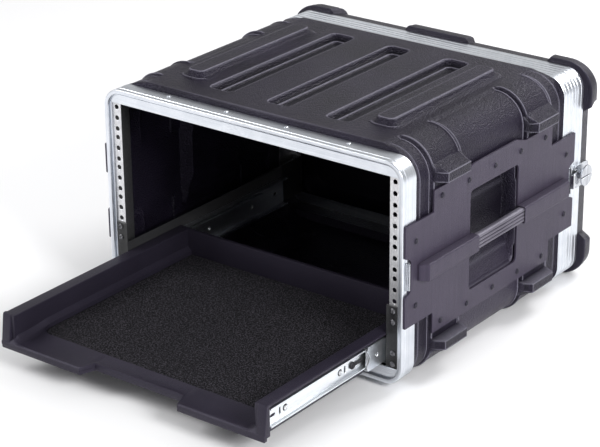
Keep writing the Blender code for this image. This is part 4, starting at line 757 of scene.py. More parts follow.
def drilledSheet(cells, thickness, lift, count=24):
    # cells are (lowA, highA, lowB, highB, holeA, holeB, halfA, halfB): each is a ring of faces from
    # its hole to its edge, front and back, with the hole's wall between; lift turns (a, b, h) to x, y, z
    surfaces = []
    for lowA, highA, lowB, highB, holeA, holeB, halfA, halfB in cells:
        hole = holeLoop(halfA, halfB, count) + (holeA, holeB)
        edge = cellLoop(lowA, highA, lowB, highB, count)
        outward = hole - (holeA, holeB)
        chamfer = hole + outward / np.linalg.norm(outward, axis=1)[:, None] * 0.0003
        stack = [(edge, 0), (edge, thickness), (chamfer, thickness), (hole, thickness - 0.0003),
                 (hole, 0.0003), (chamfer, 0)]
        rings = np.array([lift(flat[:, 0], flat[:, 1], np.full(count, float(h))) for flat, h in stack])
        surfaces.append(gridSurface(rings, closeRows=True, closeColumns=True))
    return surfaces


railSizes = {"holeHalf": 0.0034, "holeInset": 0.00755, "steps": (0.00635, 0.022225, 0.0381),
             "unit": 0.04445, "units": 6, "sheet": 0.0020, "leg": 0.034}


def rackRail(name, node, rear):
    r = railSizes
    _, high = caseBox(node + "_r")
    heights = [n * r["unit"] + step - openingHalfH for n in range(r["units"]) for step in r["steps"]]
    edges = [-openingHalfH + sheetGap] + [(a + b) / 2 for a, b in zip(heights, heights[1:])]
    edges.append(openingHalfH - sheetGap)
    centre = openingHalfW + r["holeInset"]
    face, sign = (caseDepth - sheetGap, -1) if rear else (sheetGap, 1)
    cells = [(openingHalfW, high[0], edges[n], edges[n + 1], centre, z, r["holeHalf"], r["holeHalf"])
             for n, z in enumerate(heights)]

    def lift(a, b, h):
        return np.stack([a, face + sign * (r["sheet"] - h), b], -1)

    surfaces = drilledSheet(cells, r["sheet"], lift)
    inner, outer, end = high[0] - r["sheet"], high[0], face + sign * r["leg"]
    leg = roundedProfile([(inner, face + sign * r["sheet"] * 0.5), (outer, face + sign * 0.0004),
                          (outer, end), (inner, end)], 0.0005, 2)
    surfaces.append(carriedAlong(leg, "z", [(edges[0], 1), (edges[-1], 1)]))
    bothSides(name, joined(surfaces), railSteel, "case", [node + "_{}"], 30)


rackRail("frontRail", "front_rail", False)
rackRail("rearRail", "rear_rail", True)
print("rails made")


# ---------- side plates, handles and rivets ----------
plateSizes = {"end": 0.0585, "halfZ": openingHalfH - 0.0323, "earZ": 0.071, "notchZ": 0.0275,
              "notchDepth": 0.0135, "crown": 0.0072, "crownFrom": 0.1285, "crownTo": 0.1510,
              "windowHalfY": 0.0590, "windowHalfZ": 0.0715, "thick": 0.0032, "break": 0.0005}


def sidePlate():
    # outline and window are polygons; a flat sheet between them is bevelled all round
    p = plateSizes
    mid = caseDepth / 2
    earEnd = -plateLow[1]
    crown = p["halfZ"] + p["crown"]
    # right half of the outline seen from the side, from the top centre to the bottom centre
    half = [(mid, crown), (caseDepth - p["crownTo"], crown), (caseDepth - p["crownFrom"], p["halfZ"]),
            (caseDepth - p["end"], p["halfZ"]), (caseDepth - p["end"], p["earZ"]),
            (caseDepth + earEnd, p["earZ"]), (caseDepth + earEnd, p["notchZ"]),
            (caseDepth + earEnd - p["notchDepth"] + 0.004, p["notchZ"] - 0.0035),
            (caseDepth + earEnd - p["notchDepth"], p["notchZ"] - 0.0080),
            (caseDepth + earEnd - p["notchDepth"], -p["notchZ"] + 0.0080),
            (caseDepth + earEnd - p["notchDepth"] + 0.004, -p["notchZ"] + 0.0035),
            (caseDepth + earEnd, -p["notchZ"]), (caseDepth + earEnd, -p["earZ"]),
            (caseDepth - p["end"], -p["earZ"]), (caseDepth - p["end"], -p["halfZ"]), (mid, -p["halfZ"])]
    outline = half + [(caseDepth - y, z) for y, z in reversed(half[1:-1])]
    outline = roundedProfile(outline, 0.0016, 2)
    window = roundedProfile([(mid + a * p["windowHalfY"], b * p["windowHalfZ"])
                             for a, b in ((1, 1), (-1, 1), (-1, -1), (1, -1))], 0.0075, 5)
    curve = bpy.data.curves.new("plateOutline", "CURVE")
    curve.dimensions = "2D"
    curve.fill_mode = "BOTH"
    curve.extrude = p["thick"] / 2 - p["break"]
    curve.bevel_depth = p["break"]
    curve.bevel_resolution = 1
    curve.offset = -p["break"]
    for loop in (outline, window):
        spline = curve.splines.new("POLY")
        spline.points.add(len(loop) - 1)
        spline.use_cyclic_u = True
        weighted = np.hstack([loop, np.zeros((len(loop), 1)), np.ones((len(loop), 1))])
        spline.points.foreach_set("co", weighted.ravel())
    holder = bpy.data.objects.new("plateOutline", curve)
    scene.collection.objects.link(holder)
    graph = bpy.context.evaluated_depsgraph_get()
    flat = bpy.data.meshes.new_from_object(holder.evaluated_get(graph))
    bpy.data.objects.remove(holder, do_unlink=True)
    points = np.empty(len(flat.vertices) * 3)
    flat.vertices.foreach_get("co", points)
    points = points.reshape(-1, 3)
    placed = np.stack([plateLow[0] + p["thick"] / 2 + points[:, 2], points[:, 0], points[:, 1]], -1)
    faces = [list(face.vertices) for face in flat.polygons]
    quads = np.array([f for f in faces if len(f) == 4], int).reshape(-1, 4)
    others = [f for f in faces if len(f) != 4]
    surface = {"points": placed, "quads": quads, "caps": others, "uv": placed[:, 1:]}
    surface = joined([surface, handleHousing(False), handleHousing(True)])
    bothSides("sidePlate", surface, platePlastic, "case", ["side_plate_{}"], 20)


handleSizes = {"end": 0.0220, "inner": 0.1465, "halfZ": 0.0120, "chamfer": 0.0080, "socket": 0.018,
               "ridges": 4, "groove": 0.0026}


def handleHousing(rear):
    # a hollow bar on the plate: its section is carried along y, drawn in over the chamfered end,
    # and its inner end opens into a socket for the grip
    h = handleSizes
    base, top = plateFace - 0.0006, plateHigh[0]
    stations = [(h["end"], 0.22, 0.90), (h["end"] + 0.0012, 0.42, 0.95), (h["end"] + h["chamfer"], 1.0, 1.0),
                (h["end"] + h["chamfer"] + 0.002, 1.0, 1.0), (h["inner"] - 0.0006, 1.0, 1.0),
                (h["inner"], 0.985, 0.97)]
    mouth = [(h["inner"], 0.93, 0.93), (h["inner"] - h["socket"], 0.90, 0.93)]
    rings = []
    for y, reach, height in stations + mouth:
        tip, side = base + (top - base) * reach, h["halfZ"] * height
        profile = roundedProfile([(base, -side), (tip, -side), (tip, side), (base, side)], 0.0028, 6)
        rings.append(ringAt(profile, caseDepth - y if rear else y))
    return gridSurface(np.array(rings), closeColumns=True, capRows=True)


def handleGrip():
    # a flat bar with lengthwise ridges: outer face is a row of half rounds with narrow valleys
    h = handleSizes
    low, high = gripLow, gripHigh
    halfZ = (high[2] - low[2]) / 2
    t = np.linspace(-1, 1, 41)
    wave = np.abs(np.sin((t + 1) * math.pi * h["ridges"] / 2)) ** 0.5
    outerX = high[0] - h["groove"] * (1 - wave) - 0.0004 * t ** 6
    face = np.stack([outerX, t * halfZ * 0.98], -1)
    near = high[0] - 0.002
    back = roundedProfile([(near, halfZ), (low[0], halfZ), (low[0], -halfZ), (near, -halfZ)], 0.003, 4)
    section = np.vstack([face, back])
    surface = carriedAlong(section, "y", [(low[1], 1), (caseDepth / 2, 1), (high[1], 1)])
    bothSides("handleGrip", surface, gripPlastic, "case", ["handle_grip_{}"], 30)


rivetSizes = {"radius": 0.0046, "rise": 0.0024, "inset": 0.0125, "rowStart": 0.0182,
              "earInset": 0.0185, "earZ": 0.045, "valanceInset": 0.0150, "valanceStep": 0.100,
              "valanceRadius": 0.0034, "valanceRise": 0.0013}


def rivetHead(place, axis, radius, rise):
    # a dome on a thin washer
    turn = np.linspace(0, math.pi / 2, 6)
    dome = [(radius, -0.0003), (radius, 0.0002), (radius * 0.84, 0.0003)]
    dome += [(radius * 0.82 * math.cos(a), 0.0003 + (rise - 0.0003) * math.sin(a)) for a in turn[:-1]]
    dome.append((radius * 0.05, rise))
    return turned(dome, place, axis, 18)


def plateRivets():
    # two long rows and two in each ear
    r = rivetSizes
    rowZ = plateSizes["halfZ"] - r["inset"]
    first = plateSizes["end"] + r["rowStart"]
    spots = [(first + n * (caseDepth - 2 * first) / 4, sign * rowZ) for n in range(5) for sign in (-1, 1)]
    spots += [(at, sign * r["earZ"]) for at in (r["earInset"], caseDepth - r["earInset"]) for sign in (-1, 1)]
    surface = joined([rivetHead((plateFace, y, z), (1, 0, 0), r["radius"], r["rise"]) for y, z in spots])
    bothSides("plateRivets", surface, smoothPlastic, "case", [], 30)


def valanceRivets():
    # four along the top and the bottom of each valance
    r = rivetSizes
    inset = r["valanceInset"]
    for name, y in (("frontValanceRivets", inset), ("rearValanceRivets", caseDepth - inset)):
        heads = [rivetHead(((n - 1.5) * r["valanceStep"], y, sign * valanceZ), (0, 0, sign),
                           r["valanceRadius"], r["valanceRise"]) for n in range(4) for sign in (-1, 1)]
        surface = joined(heads)
        makePiece(name, surface, extrusionMetal, "case", sharp=30)


sidePlate()
handleGrip()
plateRivets()
valanceRivets()
print("side plates, handles and rivets made")


# ---------- tray ----------
traySizes = {"postBack": 0.0060, "postDepth": 0.0122, "postWidth": 0.0140, "postLean": 0.0068,
             "wall": 0.0060,
             "rimDrop": 0.0036, "notchHalf": 0.0745, "notchRun": 0.0220, "notchFlare": 0.0080,
             "bead": 0.0016, "sag": 0.0024, "lipRise": 0.0060, "linerRadius": 0.022,
             "noseDrop": 0.0022, "coveWidth": 0.013, "coveRise": 0.0085, "coveStart": 0.012}


def frontEdge(x):
    # the tray's front edge: straight, with the finger notch set back between sloped ends
    t = traySizes
    into = np.clip((t["notchHalf"] + t["notchFlare"] - np.abs(x)) / t["notchFlare"], 0, 1)
    return trayLow[1] + t["notchRun"] * into


def trayFloor():
    # top: z is a function of (x, y): cove up to the walls, a bead round the liner's recess, then the
    # apron's shallow curve down to the lip; the front row of points follows the notch, and the grid
    # is bent so that its lines run along the recess's edge and round its corners
    t = traySizes
    half = trayHigh[0] - 0.0002
    tub = drawerLow[0] - sheetGap - t["wall"]
    edge, r = linerHigh[0] + 0.0005, t["linerRadius"]
    fan = edge - r + r * np.sin(np.linspace(0, math.pi / 2, 10))
    x = np.unique(np.concatenate([lines((0, 0.060, 5), (0.060, 0.095, 30), (0.095, edge - r, 6)), fan,
                                  [edge + 0.0003], lines((edge + 0.0008, tub, 8), (tub, half, 5))]))
    x = np.concatenate([-x[:0:-1], x])
    front = frontEdge(x)
    near = np.clip((np.abs(x) - (edge - r)) / r, 0, 1)
    recess = linerLow[1] - 0.0005 + r * (1 - np.sqrt(1 - near ** 2))
    rear = np.full_like(x, linerHigh[1] + 0.0005)
    back = np.full_like(x, trayHigh[1] - 0.001)
    fall = np.linspace(0, 1, 26)[:, None]
    y = np.vstack([front + (recess - front) * fall, recess + 0.0003,
                   recess + (rear - recess) * np.linspace(0.1, 0.9, 4)[:, None], rear - 0.0003, rear,
                   rear + (back - rear) * np.linspace(0.2, 1, 5)[:, None]])
    row = np.arange(len(y))[:, None]
    floor, lip = linerLow[2] - 0.0002, trayLow[2] + t["lipRise"]
    border = linerHigh[2] + t["bead"]
    apron = lip + (border - lip) * fall - t["sag"] * 3.2 * fall * (1 - fall)
    apron = apron - t["noseDrop"] * bell(fall, 0.03)               # rounded nose
    z = np.vstack([apron + 0 * x, np.full((len(y) - len(fall), len(x)), border)])
    side = np.clip((np.abs(x) - (tub - t["coveWidth"])) / t["coveWidth"], 0, 1)
    z = z + t["coveRise"] * side ** 2 * np.clip((y - trayLow[1]) / t["coveStart"], 0, 1)
    inLiner = (np.abs(x) <= edge + 1e-6) & (row >= len(fall)) & (row <= len(fall) + 5)
    z = np.where(inLiner, floor, z)
    x2 = x + 0 * y
    top = np.stack([x2, y, z], -1)
    lower = np.stack([x2, y, np.full_like(y, trayLow[2])], -1)
    # the sides behind the posts are the tub's, not the rim's
    behind = (y > trayLow[1] + t["postBack"]) & (np.abs(x2) > tub + t["wall"])
    for sheet in (top, lower):
        sheet[..., 0] = np.where(behind, np.sign(x2) * (tub + t["wall"]), x2)
    nose = np.stack([x, front, np.full_like(x, trayLow[2] + 0.0004)], -1)[None]
    ring = np.concatenate([top[::-1], nose, lower])
    return gridSurface(ring, closeRows=True), ring


def sideCaps(ring):
    # closes the open ends of a ring stack at its first and last column
    ends = []
    for column in (0, ring.shape[1] - 1):
        edge = ring[:, column]
        ends.append({"points": edge, "quads": np.zeros((0, 4), int), "caps": [list(range(len(edge)))],
                     "uv": edge[:, 1:]})
    return ends


def trayBody():
    t = traySizes
    floor, ring = trayFloor()
    surfaces = [floor] + sideCaps(ring)
    half = trayHigh[0] - 0.0003
    tub = drawerLow[0] - sheetGap
    top = trayHigh[2] - 0.0003
    low = trayLow[2]
    # wall and rim: a hollow-cornered section carried back from the post
    wall = [(tub - t["wall"], low + 0.001), (tub - t["wall"] - 0.0006, top - 0.0008),
            (tub - t["wall"] + 0.0004, top), (half - 0.0008, top), (half, top - 0.0008),
            (half, top - t["rimDrop"]), (half - 0.0012, top - t["rimDrop"]), (half - 0.0012, top - 0.0024),
            (tub, top - 0.0024), (tub, low + 0.001)]
    frontY = trayLow[1] + t["postLean"]
    walled = carriedAlong(roundedProfile(wall, 0.0005, 2), "y", [(frontY, 1), (trayHigh[1], 1)])
    surfaces += [walled, mirrored(walled)]
    # posts: blocks that lean back from the lip, with soft edges
    half, top = trayHigh[0], trayHigh[2]
    inner = half - t["postWidth"]
    rings = []
    deep = t["postDepth"]                              # short enough to close in front of the slides
    for z, front, rear in ((low, 0.0002, deep - 0.0005), (low + 0.0006, 0.0, deep),
                           (top - 0.002, t["postLean"] - 0.0012, deep), (top, t["postLean"], deep)):
        flat = roundedProfile([(inner, trayLow[1] + front), (half, trayLow[1] + front),
                               (half, trayLow[1] + rear), (inner, trayLow[1] + rear)], 0.0012, 3)
        rings.append(np.stack([flat[:, 0], flat[:, 1], np.full(len(flat), z)], -1))
    post = gridSurface(np.array(rings), closeColumns=True, capRows=True)
    surfaces += [post, mirrored(post)]
    inside, outside, foot, head = trayHigh[1] - t["wall"], trayHigh[1], low + 0.001, top - 0.0006
    rear = roundedProfile([(inside, foot), (outside, foot), (outside, head), (inside, head)], 0.0008, 2)
    surfaces.append(carriedAlong(rear, "x", [(-tub, 1), (tub, 1)]))
    makePiece("trayBody", joined(surfaces), trayPlastic, "tray", ["tray_body"], 34)


def trayPan():
    # thin pan under the parting line, a hair inside the body above it
    t = traySizes
    half = panHigh[0] - 0.0003
    tub = drawerLow[0] - sheetGap
    notch, flare, run = t["notchHalf"], t["notchFlare"], t["notchRun"]
    front, back, rear = panLow[1] + 0.0003, panLow[1] + t["postBack"], panHigh[1]
    outline = roundedProfile([(-half, back), (-half, front), (-notch - flare, front), (-notch, front + run),
                              (notch, front + run), (notch + flare, front), (half, front), (half, back),
                              (tub, back), (tub, rear), (-tub, rear), (-tub, back)], 0.0008, 2)
    surface = carriedAlong(outline, "z", [(panLow[2], 0.9985), (panLow[2] + 0.0006, 1), (panHigh[2], 1)])
    makePiece("trayPan", surface, trayPlastic, "tray", ["tray_base"], 34)


linerSizes = {"columns": 190, "rows": 150, "roll": 0.0016, "edge": 0.0006, "drop": 0.0013,
              "roughness": 0.00028}


def trayLiner():
    # foam mat: a grid whose top is roughened by a sum of sines, its edges rolled down
    low, high = linerLow, linerHigh
    s = linerSizes
    x = np.linspace(low[0], high[0], s["columns"])[:, None]
    y = np.linspace(low[1], high[1], s["rows"])[None]
    corner = traySizes["linerRadius"]
    # the corners are rounded by pulling each row's ends in
    nearEnd = np.clip((corner - (y - low[1])) / corner, 0, 1)
    pull = corner * (1 - np.sqrt(1 - nearEnd ** 2))
    xs = x * (high[0] - pull) / high[0]
    edge = np.minimum(high[0] - pull - np.abs(xs), np.minimum(y - low[1], high[1] - y))
    roll = np.sqrt(np.clip(edge / s["roll"], 0, 1))
    rough = (np.sin(xs * 2100 + 3 * np.sin(y * 900)) * np.sin(y * 1900 + 2 * np.sin(xs * 1100))
             + 0.7 * np.sin(xs * 3700 + y * 2900) * np.sin(y * 4100 - xs * 1700))
    z = low[2] + s["edge"] + (high[2] - low[2] - s["drop"]) * roll + s["roughness"] * rough * roll
    top = np.stack([xs + 0 * z, y + 0 * z, z], -1)
    bottom = np.stack([xs + 0 * z, y + 0 * z, np.full_like(z, low[2])], -1)
    skirt = []
    for a, b in ((top[:1], bottom[:1]), (top[-1:], bottom[-1:]),
                 (top[:, :1].transpose(1, 0, 2), bottom[:, :1].transpose(1, 0, 2)),
                 (top[:, -1:].transpose(1, 0, 2), bottom[:, -1:].transpose(1, 0, 2))):
        skirt.append(gridSurface(np.concatenate([a, b])))
    base = {"points": np.vstack([bottom[0], bottom[1:, -1], bottom[-1, -2::-1], bottom[-2:0:-1, 0]]),
            "quads": np.zeros((0, 4), int)}
    base["caps"] = [list(range(len(base["points"])))]
    base["uv"] = base["points"][:, :2]
    liner = makePiece("trayLiner", joined([gridSurface(top), base] + skirt), linerFoam, "tray",
                      ["tray_liner"], 60)


trayBody()
trayPan()
trayLiner()
print("tray made")


# ---------- slides ----------
slideSizes = {
    "sheet": 0.0014, "outerHalf": 0.0218, "middleHalf": 0.0176, "drawerHalf": 0.0134,
    "outerRoll": 0.0024, "middleRoll": 0.0020, "drawerRoll": 0.0022, "middleNotch": 0.0075,
    # half length and half height of each kind of hole, and how far back the plain rows stand
    "slot": (0.0052, 0.0020), "upright": (0.0016, 0.0052), "screwHole": (0.0045, 0.0045),
    "round": (0.0030, 0.0030), "outerSlot": (0.0042, 0.0022),
    "middleHoles": (0.021, 0.110, 0.210, 0.310), "outerHoles": (0.018, 0.120, 0.230, 0.330),
}


def slideMember(name, node, body, webX, openX, halfZ, cells, rollIn, notch=0.0):
    # a drilled web with two rolled flanges: each flange is an L section whose edge is turned in;
    # cells are (start, end, hole y, hole z, half length, half height)
    low, high = caseBox(node + "_r")
    s = slideSizes
    centre = (low[2] + high[2]) / 2
    inward = 1 if openX > webX else -1

    def lift(a, b, h):
        return np.stack([webX + inward * h, a, b + centre], -1)

    web = [(start, end, -halfZ + 0.0004, halfZ - 0.0004, *hole) for start, end, *hole in cells]
    surfaces = drilledSheet(web, s["sheet"], lift)
    for sign in (-1, 1):
        z = centre + sign * halfZ
        root, edge, skin = webX + inward * 0.0004, openX - inward * s["sheet"], z - sign * s["sheet"]
        flange = [(root, z), (openX, z), (openX, z - sign * rollIn), (edge, z - sign * rollIn),
                  (edge, skin), (root, skin)]
        surfaces.append(carriedAlong(roundedProfile(flange, 0.0006, 3), "y",
                                     [(low[1], 1), (low[1] + 0.012, 1), (high[1], 1)]))
    surface = joined(surfaces)
    # the front end is cut to a wave: deepest at the middle, with two ears
    points = surface["points"]
    level = (points[:, 2] - centre) / halfZ
    wave = bell(level, 0.42, 4) + 0.35 * bell(np.abs(level) - 1, 0.18)
    points[:, 1] += notch * wave * np.clip(1 - (points[:, 1] - low[1]) / 0.012, 0, 1)
    bothSides(name, surface, slideSteel, body, [node + "_{}"], 32)


def holeCells(low, high, holes):
    # splits a member's length into cells, one for each hole (y, z, half length, half height)
    edges = [low] + [(a[0] + b[0]) / 2 for a, b in zip(holes, holes[1:])] + [high]
    return [(edges[n], edges[n + 1], *hole) for n, hole in enumerate(holes)]


def slides():
    s = slideSizes
    screwY = [sum(corner[1] for corner in caseBox("drawer_screw_{}_r".format(n))) / 2 for n in (1, 2)]
    start = drawerLow[1]
    drawer = [(start + 0.0090, 0, *s["slot"]), (start + 0.0235, 0, *s["upright"]),
              (screwY[0], 0, *s["screwHole"]), (screwY[1], 0, *s["screwHole"]),
              (screwY[1] + 0.0105, 0, *s["upright"]), (start + 0.230, 0, *s["slot"]),
              (start + 0.290, 0, *s["round"]), (start + 0.325, 0, *s["upright"])]
    slideMember("drawerSlide", "slide_drawer", "tray", drawerLow[0], drawerHigh[0], s["drawerHalf"],
                holeCells(drawerLow[1], drawerHigh[1], drawer), s["drawerRoll"])
    middle = [(middleLow[1] + at, 0, *s["round"]) for at in s["middleHoles"]]
    slideMember("middleSlide", "slide_middle", "middle_slide_{}", middleHigh[0], middleLow[0],
                s["middleHalf"], holeCells(middleLow[1], middleHigh[1], middle), s["middleRoll"],
                s["middleNotch"])
    outer = [(outerLow[1] + at, 0, *s["outerSlot"]) for at in s["outerHoles"]]
    slideMember("outerSlide", "slide_outer", "case", outerHigh[0], outerLow[0], s["outerHalf"],
                holeCells(outerLow[1], outerHigh[1], outer), s["outerRoll"])


def slideLevers():
    # release lever: a slim bar on the web with a thumb disc at its front end
    low, high = caseBox("slide_lever_r")
    mid = (low[2] + high[2]) / 2
    bar = roundedProfile([(low[0], mid - 0.0020), (high[0], mid - 0.0020), (high[0], mid + 0.0020),
                          (low[0], mid + 0.0020)], 0.0008, 3)
    arm = carriedAlong(bar, "y", [(low[1] + 0.004, 0.9), (low[1] + 0.005, 1),
                                  (high[1] - 0.001, 1), (high[1], 0.7)])
    rise = high[0] - low[0]
    disc = [(0.0050, 0.0), (0.0050, rise * 0.8), (0.0046, rise), (0.0030, rise),
            (0.0026, rise * 0.6), (0.0004, rise * 0.6)]
    thumb = turned(disc, (low[0], low[1] + 0.0052, mid), (1, 0, 0), 24)
    bothSides("slideLever", joined([arm, thumb]), leverPlastic, "tray", ["slide_lever_{}"],
              30)


slides()
slideLevers()
print("slides made")


# ---------- screws ----------
screwSizes = {"earHead": 0.0038, "earRise": 0.0020, "drawerHead": 0.0033, "drawerRise": 0.0016}


def crossScrew(node, body, head, rise, metal):
    # domed head with a cross recess: height falls with radius, less a cross of two narrow valleys
    low, high = caseBox(node)
    if node.startswith("ear"):
        centre = np.array(((low[0] + high[0]) / 2, low[1] + rise, (low[2] + high[2]) / 2))
        axis = (0, -1, 0)
    else:
        centre = np.array((high[0] - rise if high[0] > 0 else low[0] + rise, (low[1] + high[1]) / 2,
                           (low[2] + high[2]) / 2))
        axis = (1, 0, 0) if high[0] > 0 else (-1, 0, 0)
    spin = np.linspace(0, 2 * math.pi, 32, endpoint=False)[None]
    r = np.array([1.0, 1.0, 0.95, 0.8, 0.62, 0.5, 0.38, 0.26, 0.16, 0.06])[:, None] * head
    height = rise * np.sqrt(np.clip(1 - (r / head) ** 2 * 0.80, 0, 1))
    height[0] = 0
    a, b = np.abs(r * np.cos(spin)), np.abs(r * np.sin(spin))
    valley = 0.16 * head
    cross = np.maximum(bell(a, valley, 4), bell(b, valley, 4)) * (r < 0.62 * head)
    top = height - 0.55 * rise * cross
    rings = np.stack([r * np.cos(spin), r * np.sin(spin), top + 0 * spin], -1)
    turnTo = np.array(Vector((0, 0, 1)).rotation_difference(Vector(axis)).to_matrix())
    surface = gridSurface(rings @ turnTo.T + centre, closeColumns=True, capRows=True)
    words = node.split("_")
    title = words[0] + "Screw" + words[2] + ("Right" if words[3] == "r" else "Left")
    makePiece(title, surface, metal, body, [node], 30)


for side in ("r", "l"):
    for n in range(1, 5):
        crossScrew("ear_screw_{}_{}".format(n, side), "case", screwSizes["earHead"],
                   screwSizes["earRise"], earScrewSteel)
    for n in (1, 2):
        crossScrew("drawer_screw_{}_{}".format(n, side), "tray", screwSizes["drawerHead"],
                   screwSizes["drawerRise"], screwSteel)
print("screws made")


# ---------- lid ----------
lidSizes = {"start": 0.0003, "lean": 0.0050, "corner": 0.033, "backRound": 0.012, "wall": 0.0035,
            "bumperX": 0.0122, "bumperZ": 0.0072, "bumperStart": 0.0026, "armX": 0.187, "armZ": 0.092,
            "middleX": 0.052, "dish": 0.0040, "backDrop": 0.0022,
            # how far a bumper's edges lean inwards over the lid's depth, and the width of their slopes
            "armLeanX": 0.006, "armEaseX": 0.006, "armLeanZ": 0.012, "armEaseZ": 0.008,
            "middleLean": 0.004, "middleEase": 0.005, "bumperEase": 0.0008, "fullTo": 0.0075,
            "fallRun": 0.0300, "settleAt": 0.020, "settleRun": 0.010, "flare": 0.35, "backPush": 0.0018,
            "neckInset": 0.0025, "rimInset": 0.0060}


def lidShell():
    # outer skin: the loop at depth y leans in, turns over a quarter round and runs to the middle of
    # the back; the bumpers push the loop out over the corners and the middle of the long edges
    s = lidSizes
    near = caseBox("lid_valance")[1][1] + s["start"]
    far = lidHigh[1]
    halfZ = valanceZ
    flatX, flatZ = sideX - s["corner"], halfZ - s["corner"]
    topX = lines((0, 0.046, 4), (0.046, 0.062, 14), (0.062, 0.176, 5), (0.176, 0.194, 15),
                 (0.194, flatX, 4))
    sideZ = lines((flatZ, 0.102, 4), (0.102, 0.084, 15), (0.084, -0.084, 6), (-0.084, -0.102, 15),
                  (-0.102, -flatZ, 4))
    place = np.unique(np.concatenate([topX / flatX, 1 + np.linspace(0, 1, 26),
                                      2 + (flatZ - sideZ) / (2 * flatZ), 3 + np.linspace(0, 1, 26),
                                      4 + (flatX - topX) / flatX]).clip(0, 5))
    base, normal = halfLoop(place, sideX, halfZ, s["corner"])
    x0, z0 = base[:, 0], base[:, 1]
    turn = np.linspace(0, math.pi / 2, 9)
    radius = s["backRound"]
    length = far - near
    # section of the bare lid: (depth, inset) and of a bumper on it: (depth, share of its reach)
    straight = np.array([0, 0.0004, 0.0030, 0.0034, 0.0050, 0.0080, 0.014, 0.020]) * length / 0.034
    plain = [(d, s["lean"] * d / length) for d in straight if d < length - radius]
    back, afterTurn = length - s["backDrop"], s["lean"] + radius
    plain += [(back - radius + radius * math.sin(a), s["lean"] + radius * (1 - math.cos(a))) for a in turn]
    plain += [(back, afterTurn + d) for d in (0.006, 0.014)]
    plain += [(back - s["dish"], afterTurn + d) for d in (0.020, 0.034)]
    depth = np.array([p[0] for p in plain])[:, None]
    inset = np.array([p[1] for p in plain])[:, None]
    along = depth / length
    armX = (x0 - s["armX"] + s["armLeanX"] * along) / s["armEaseX"]
    armZ = (np.abs(z0) - s["armZ"] - s["armLeanZ"] * along) / s["armEaseZ"]
    corner = np.minimum(np.clip(armX, 0, 1), np.clip(armZ, 0, 1))
    onEdge = np.abs(z0) > halfZ - 0.001
    reachX = s["middleX"] + s["middleLean"] - x0 - s["middleLean"] * along
    middle = np.clip(reachX / s["middleEase"], 0, 1) * onEdge
    mask = np.maximum(corner, middle)
    fallen = np.clip((depth - s["fullTo"]) / s["fallRun"], 0, 1) ** 3
    rise = np.clip((depth - s["bumperStart"]) / s["bumperEase"], 0, 1) * np.sqrt(np.clip(1 - fallen, 0, 1))
    settle = np.clip((s["settleAt"] + s["lean"] + radius - inset) / s["settleRun"], 0, 1)
    push = mask * rise * settle
    outX = normal[:, 0] * push * (s["bumperX"] + inset * s["flare"])
    outZ = normal[:, 1] * push * (s["bumperZ"] + inset * s["flare"])
    rings = []
    for k, (d, i) in enumerate(plain):
        loop, _ = halfLoop(place, sideX - i, halfZ - i, max(s["corner"] - i * 0.6, 0.004))
        rings.append(ringAt(loop + np.stack([outX[k], outZ[k]], -1), near + d))
    backPush = mask * settle * np.clip((depth - length * 0.55) / (length * 0.3), 0, 1) * s["backPush"]
    rings = np.array(rings)
    rings[..., 1] = np.minimum(rings[..., 1] + backPush, far - 0.0002)
    neck, thin = [halfLoop(place, sideX - i, halfZ - i, valanceSizes["corner"] - i)[0]
                  for i in (s["neckInset"], s["rimInset"])]
    rimY = lidLow[1]

    inner = []
    for d, i in ((0.004, 0.0045), (length - 0.016, 0.0075), (length - 0.0075, 0.0130)):
        loop, _ = halfLoop(place, sideX - i - 0.002, halfZ - i - 0.002, s["corner"] - i * 0.6)
        inner.append(ringAt(loop, near + d))
    rim = [ringAt(neck, near - 0.0001), ringAt(neck, rimY), ringAt(thin, rimY), ringAt(thin, near + 0.001)]
    stack = np.concatenate([rings[::-1], rim, inner])
    shell = gridSurface(wholeLoop(stack), closeColumns=True, capRows=True)
    makePiece("lidShell", shell, smoothPlastic, "lid", ["lid_shell"], 38)


lidShell()
print("lid made")


# ---------- finishes of the solids that stay ----------
def dressSolid(node, material, bevel=0.0003):
    # a kept solid: own finish, and its loose triangles welded so that its edges can be broken
    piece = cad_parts[node]
    piece.data.materials.clear()
    piece.data.materials.append(material)
    weld = piece.modifiers.new("weld", "WELD")
    weld.merge_threshold = 0.00002
    edge = piece.modifiers.new("edge", "BEVEL")
    edge.width = bevel
    edge.segments = 2
    edge.limit_method = "ANGLE"
    edge.angle_limit = math.radians(40)


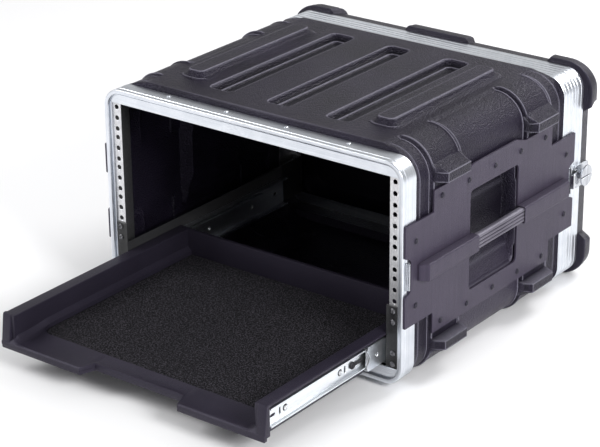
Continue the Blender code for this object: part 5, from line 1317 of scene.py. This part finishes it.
for side in ("r", "l"):
    dressSolid("tray_bracket_" + side, bracketPaint)
    dressSolid("rear_bracket_" + side, bracketPaint)
    for node in ("front_keeper_", "rear_keeper_", "latch_base_", "latch_hub_", "latch_wing_upper_",
                 "latch_wing_lower_", "latch_hook_"):
        dressSolid(node + side, latchSteel)
    for node in ("outer_ball_cage_", "inner_ball_cage_"):
        dressSolid(node + side, screwSteel, 0.0001)
print("kept solids dressed")


# ---------- floor and light ----------
studioSizes = {"floorHalf": 6.0, "sky": 0.52, "aim": (0, 0, 0.15),
               # name, place, size in metres and power in watts
               "lamps": (("keySoftbox", (2.2, -0.7, 1.4), 0.9, 50),
                         ("leftSoftbox", (-2.0, -1.6, 2.0), 1.4, 44),
                         ("rearSoftbox", (0.6, 1.9, 1.9), 1.0, 40))}


def studio():
    floor = bpy.data.meshes.new("studioFloor")
    size = studioSizes["floorHalf"]
    corners = [(-size, -size, 0), (size, -size, 0), (size, size, 0), (-size, size, 0)]
    floor.from_pydata(corners, [], [(0, 1, 2, 3)])
    ground = bpy.data.objects.new("studioFloor", floor)
    scene.collection.objects.link(ground)
    material, _, shader = newMaterial("paleFloor")
    shader.inputs["Base Color"].default_value = (0.90, 0.90, 0.91, 1)
    shader.inputs["Roughness"].default_value = 0.8
    floor.materials.append(material)
    world = bpy.data.worlds.new("studioWorld")
    world.use_nodes = True
    world.node_tree.nodes["Background"].inputs["Color"].default_value = (1, 1, 1, 1)
    world.node_tree.nodes["Background"].inputs["Strength"].default_value = studioSizes["sky"]
    scene.world = world
    for name, place, size, power in studioSizes["lamps"]:
        light = bpy.data.lights.new(name, "AREA")
        light.shape = "SQUARE"
        light.size = size
        light.energy = power
        lamp = bpy.data.objects.new(name, light)
        lamp.location = place
        lamp.rotation_mode = "QUATERNION"
        aim = Vector(studioSizes["aim"]) - Vector(place)
        lamp.rotation_quaternion = aim.to_track_quat("-Z", "Y")
        scene.collection.objects.link(lamp)
    scene.view_settings.view_transform = "Standard"


studio()
print("all made")
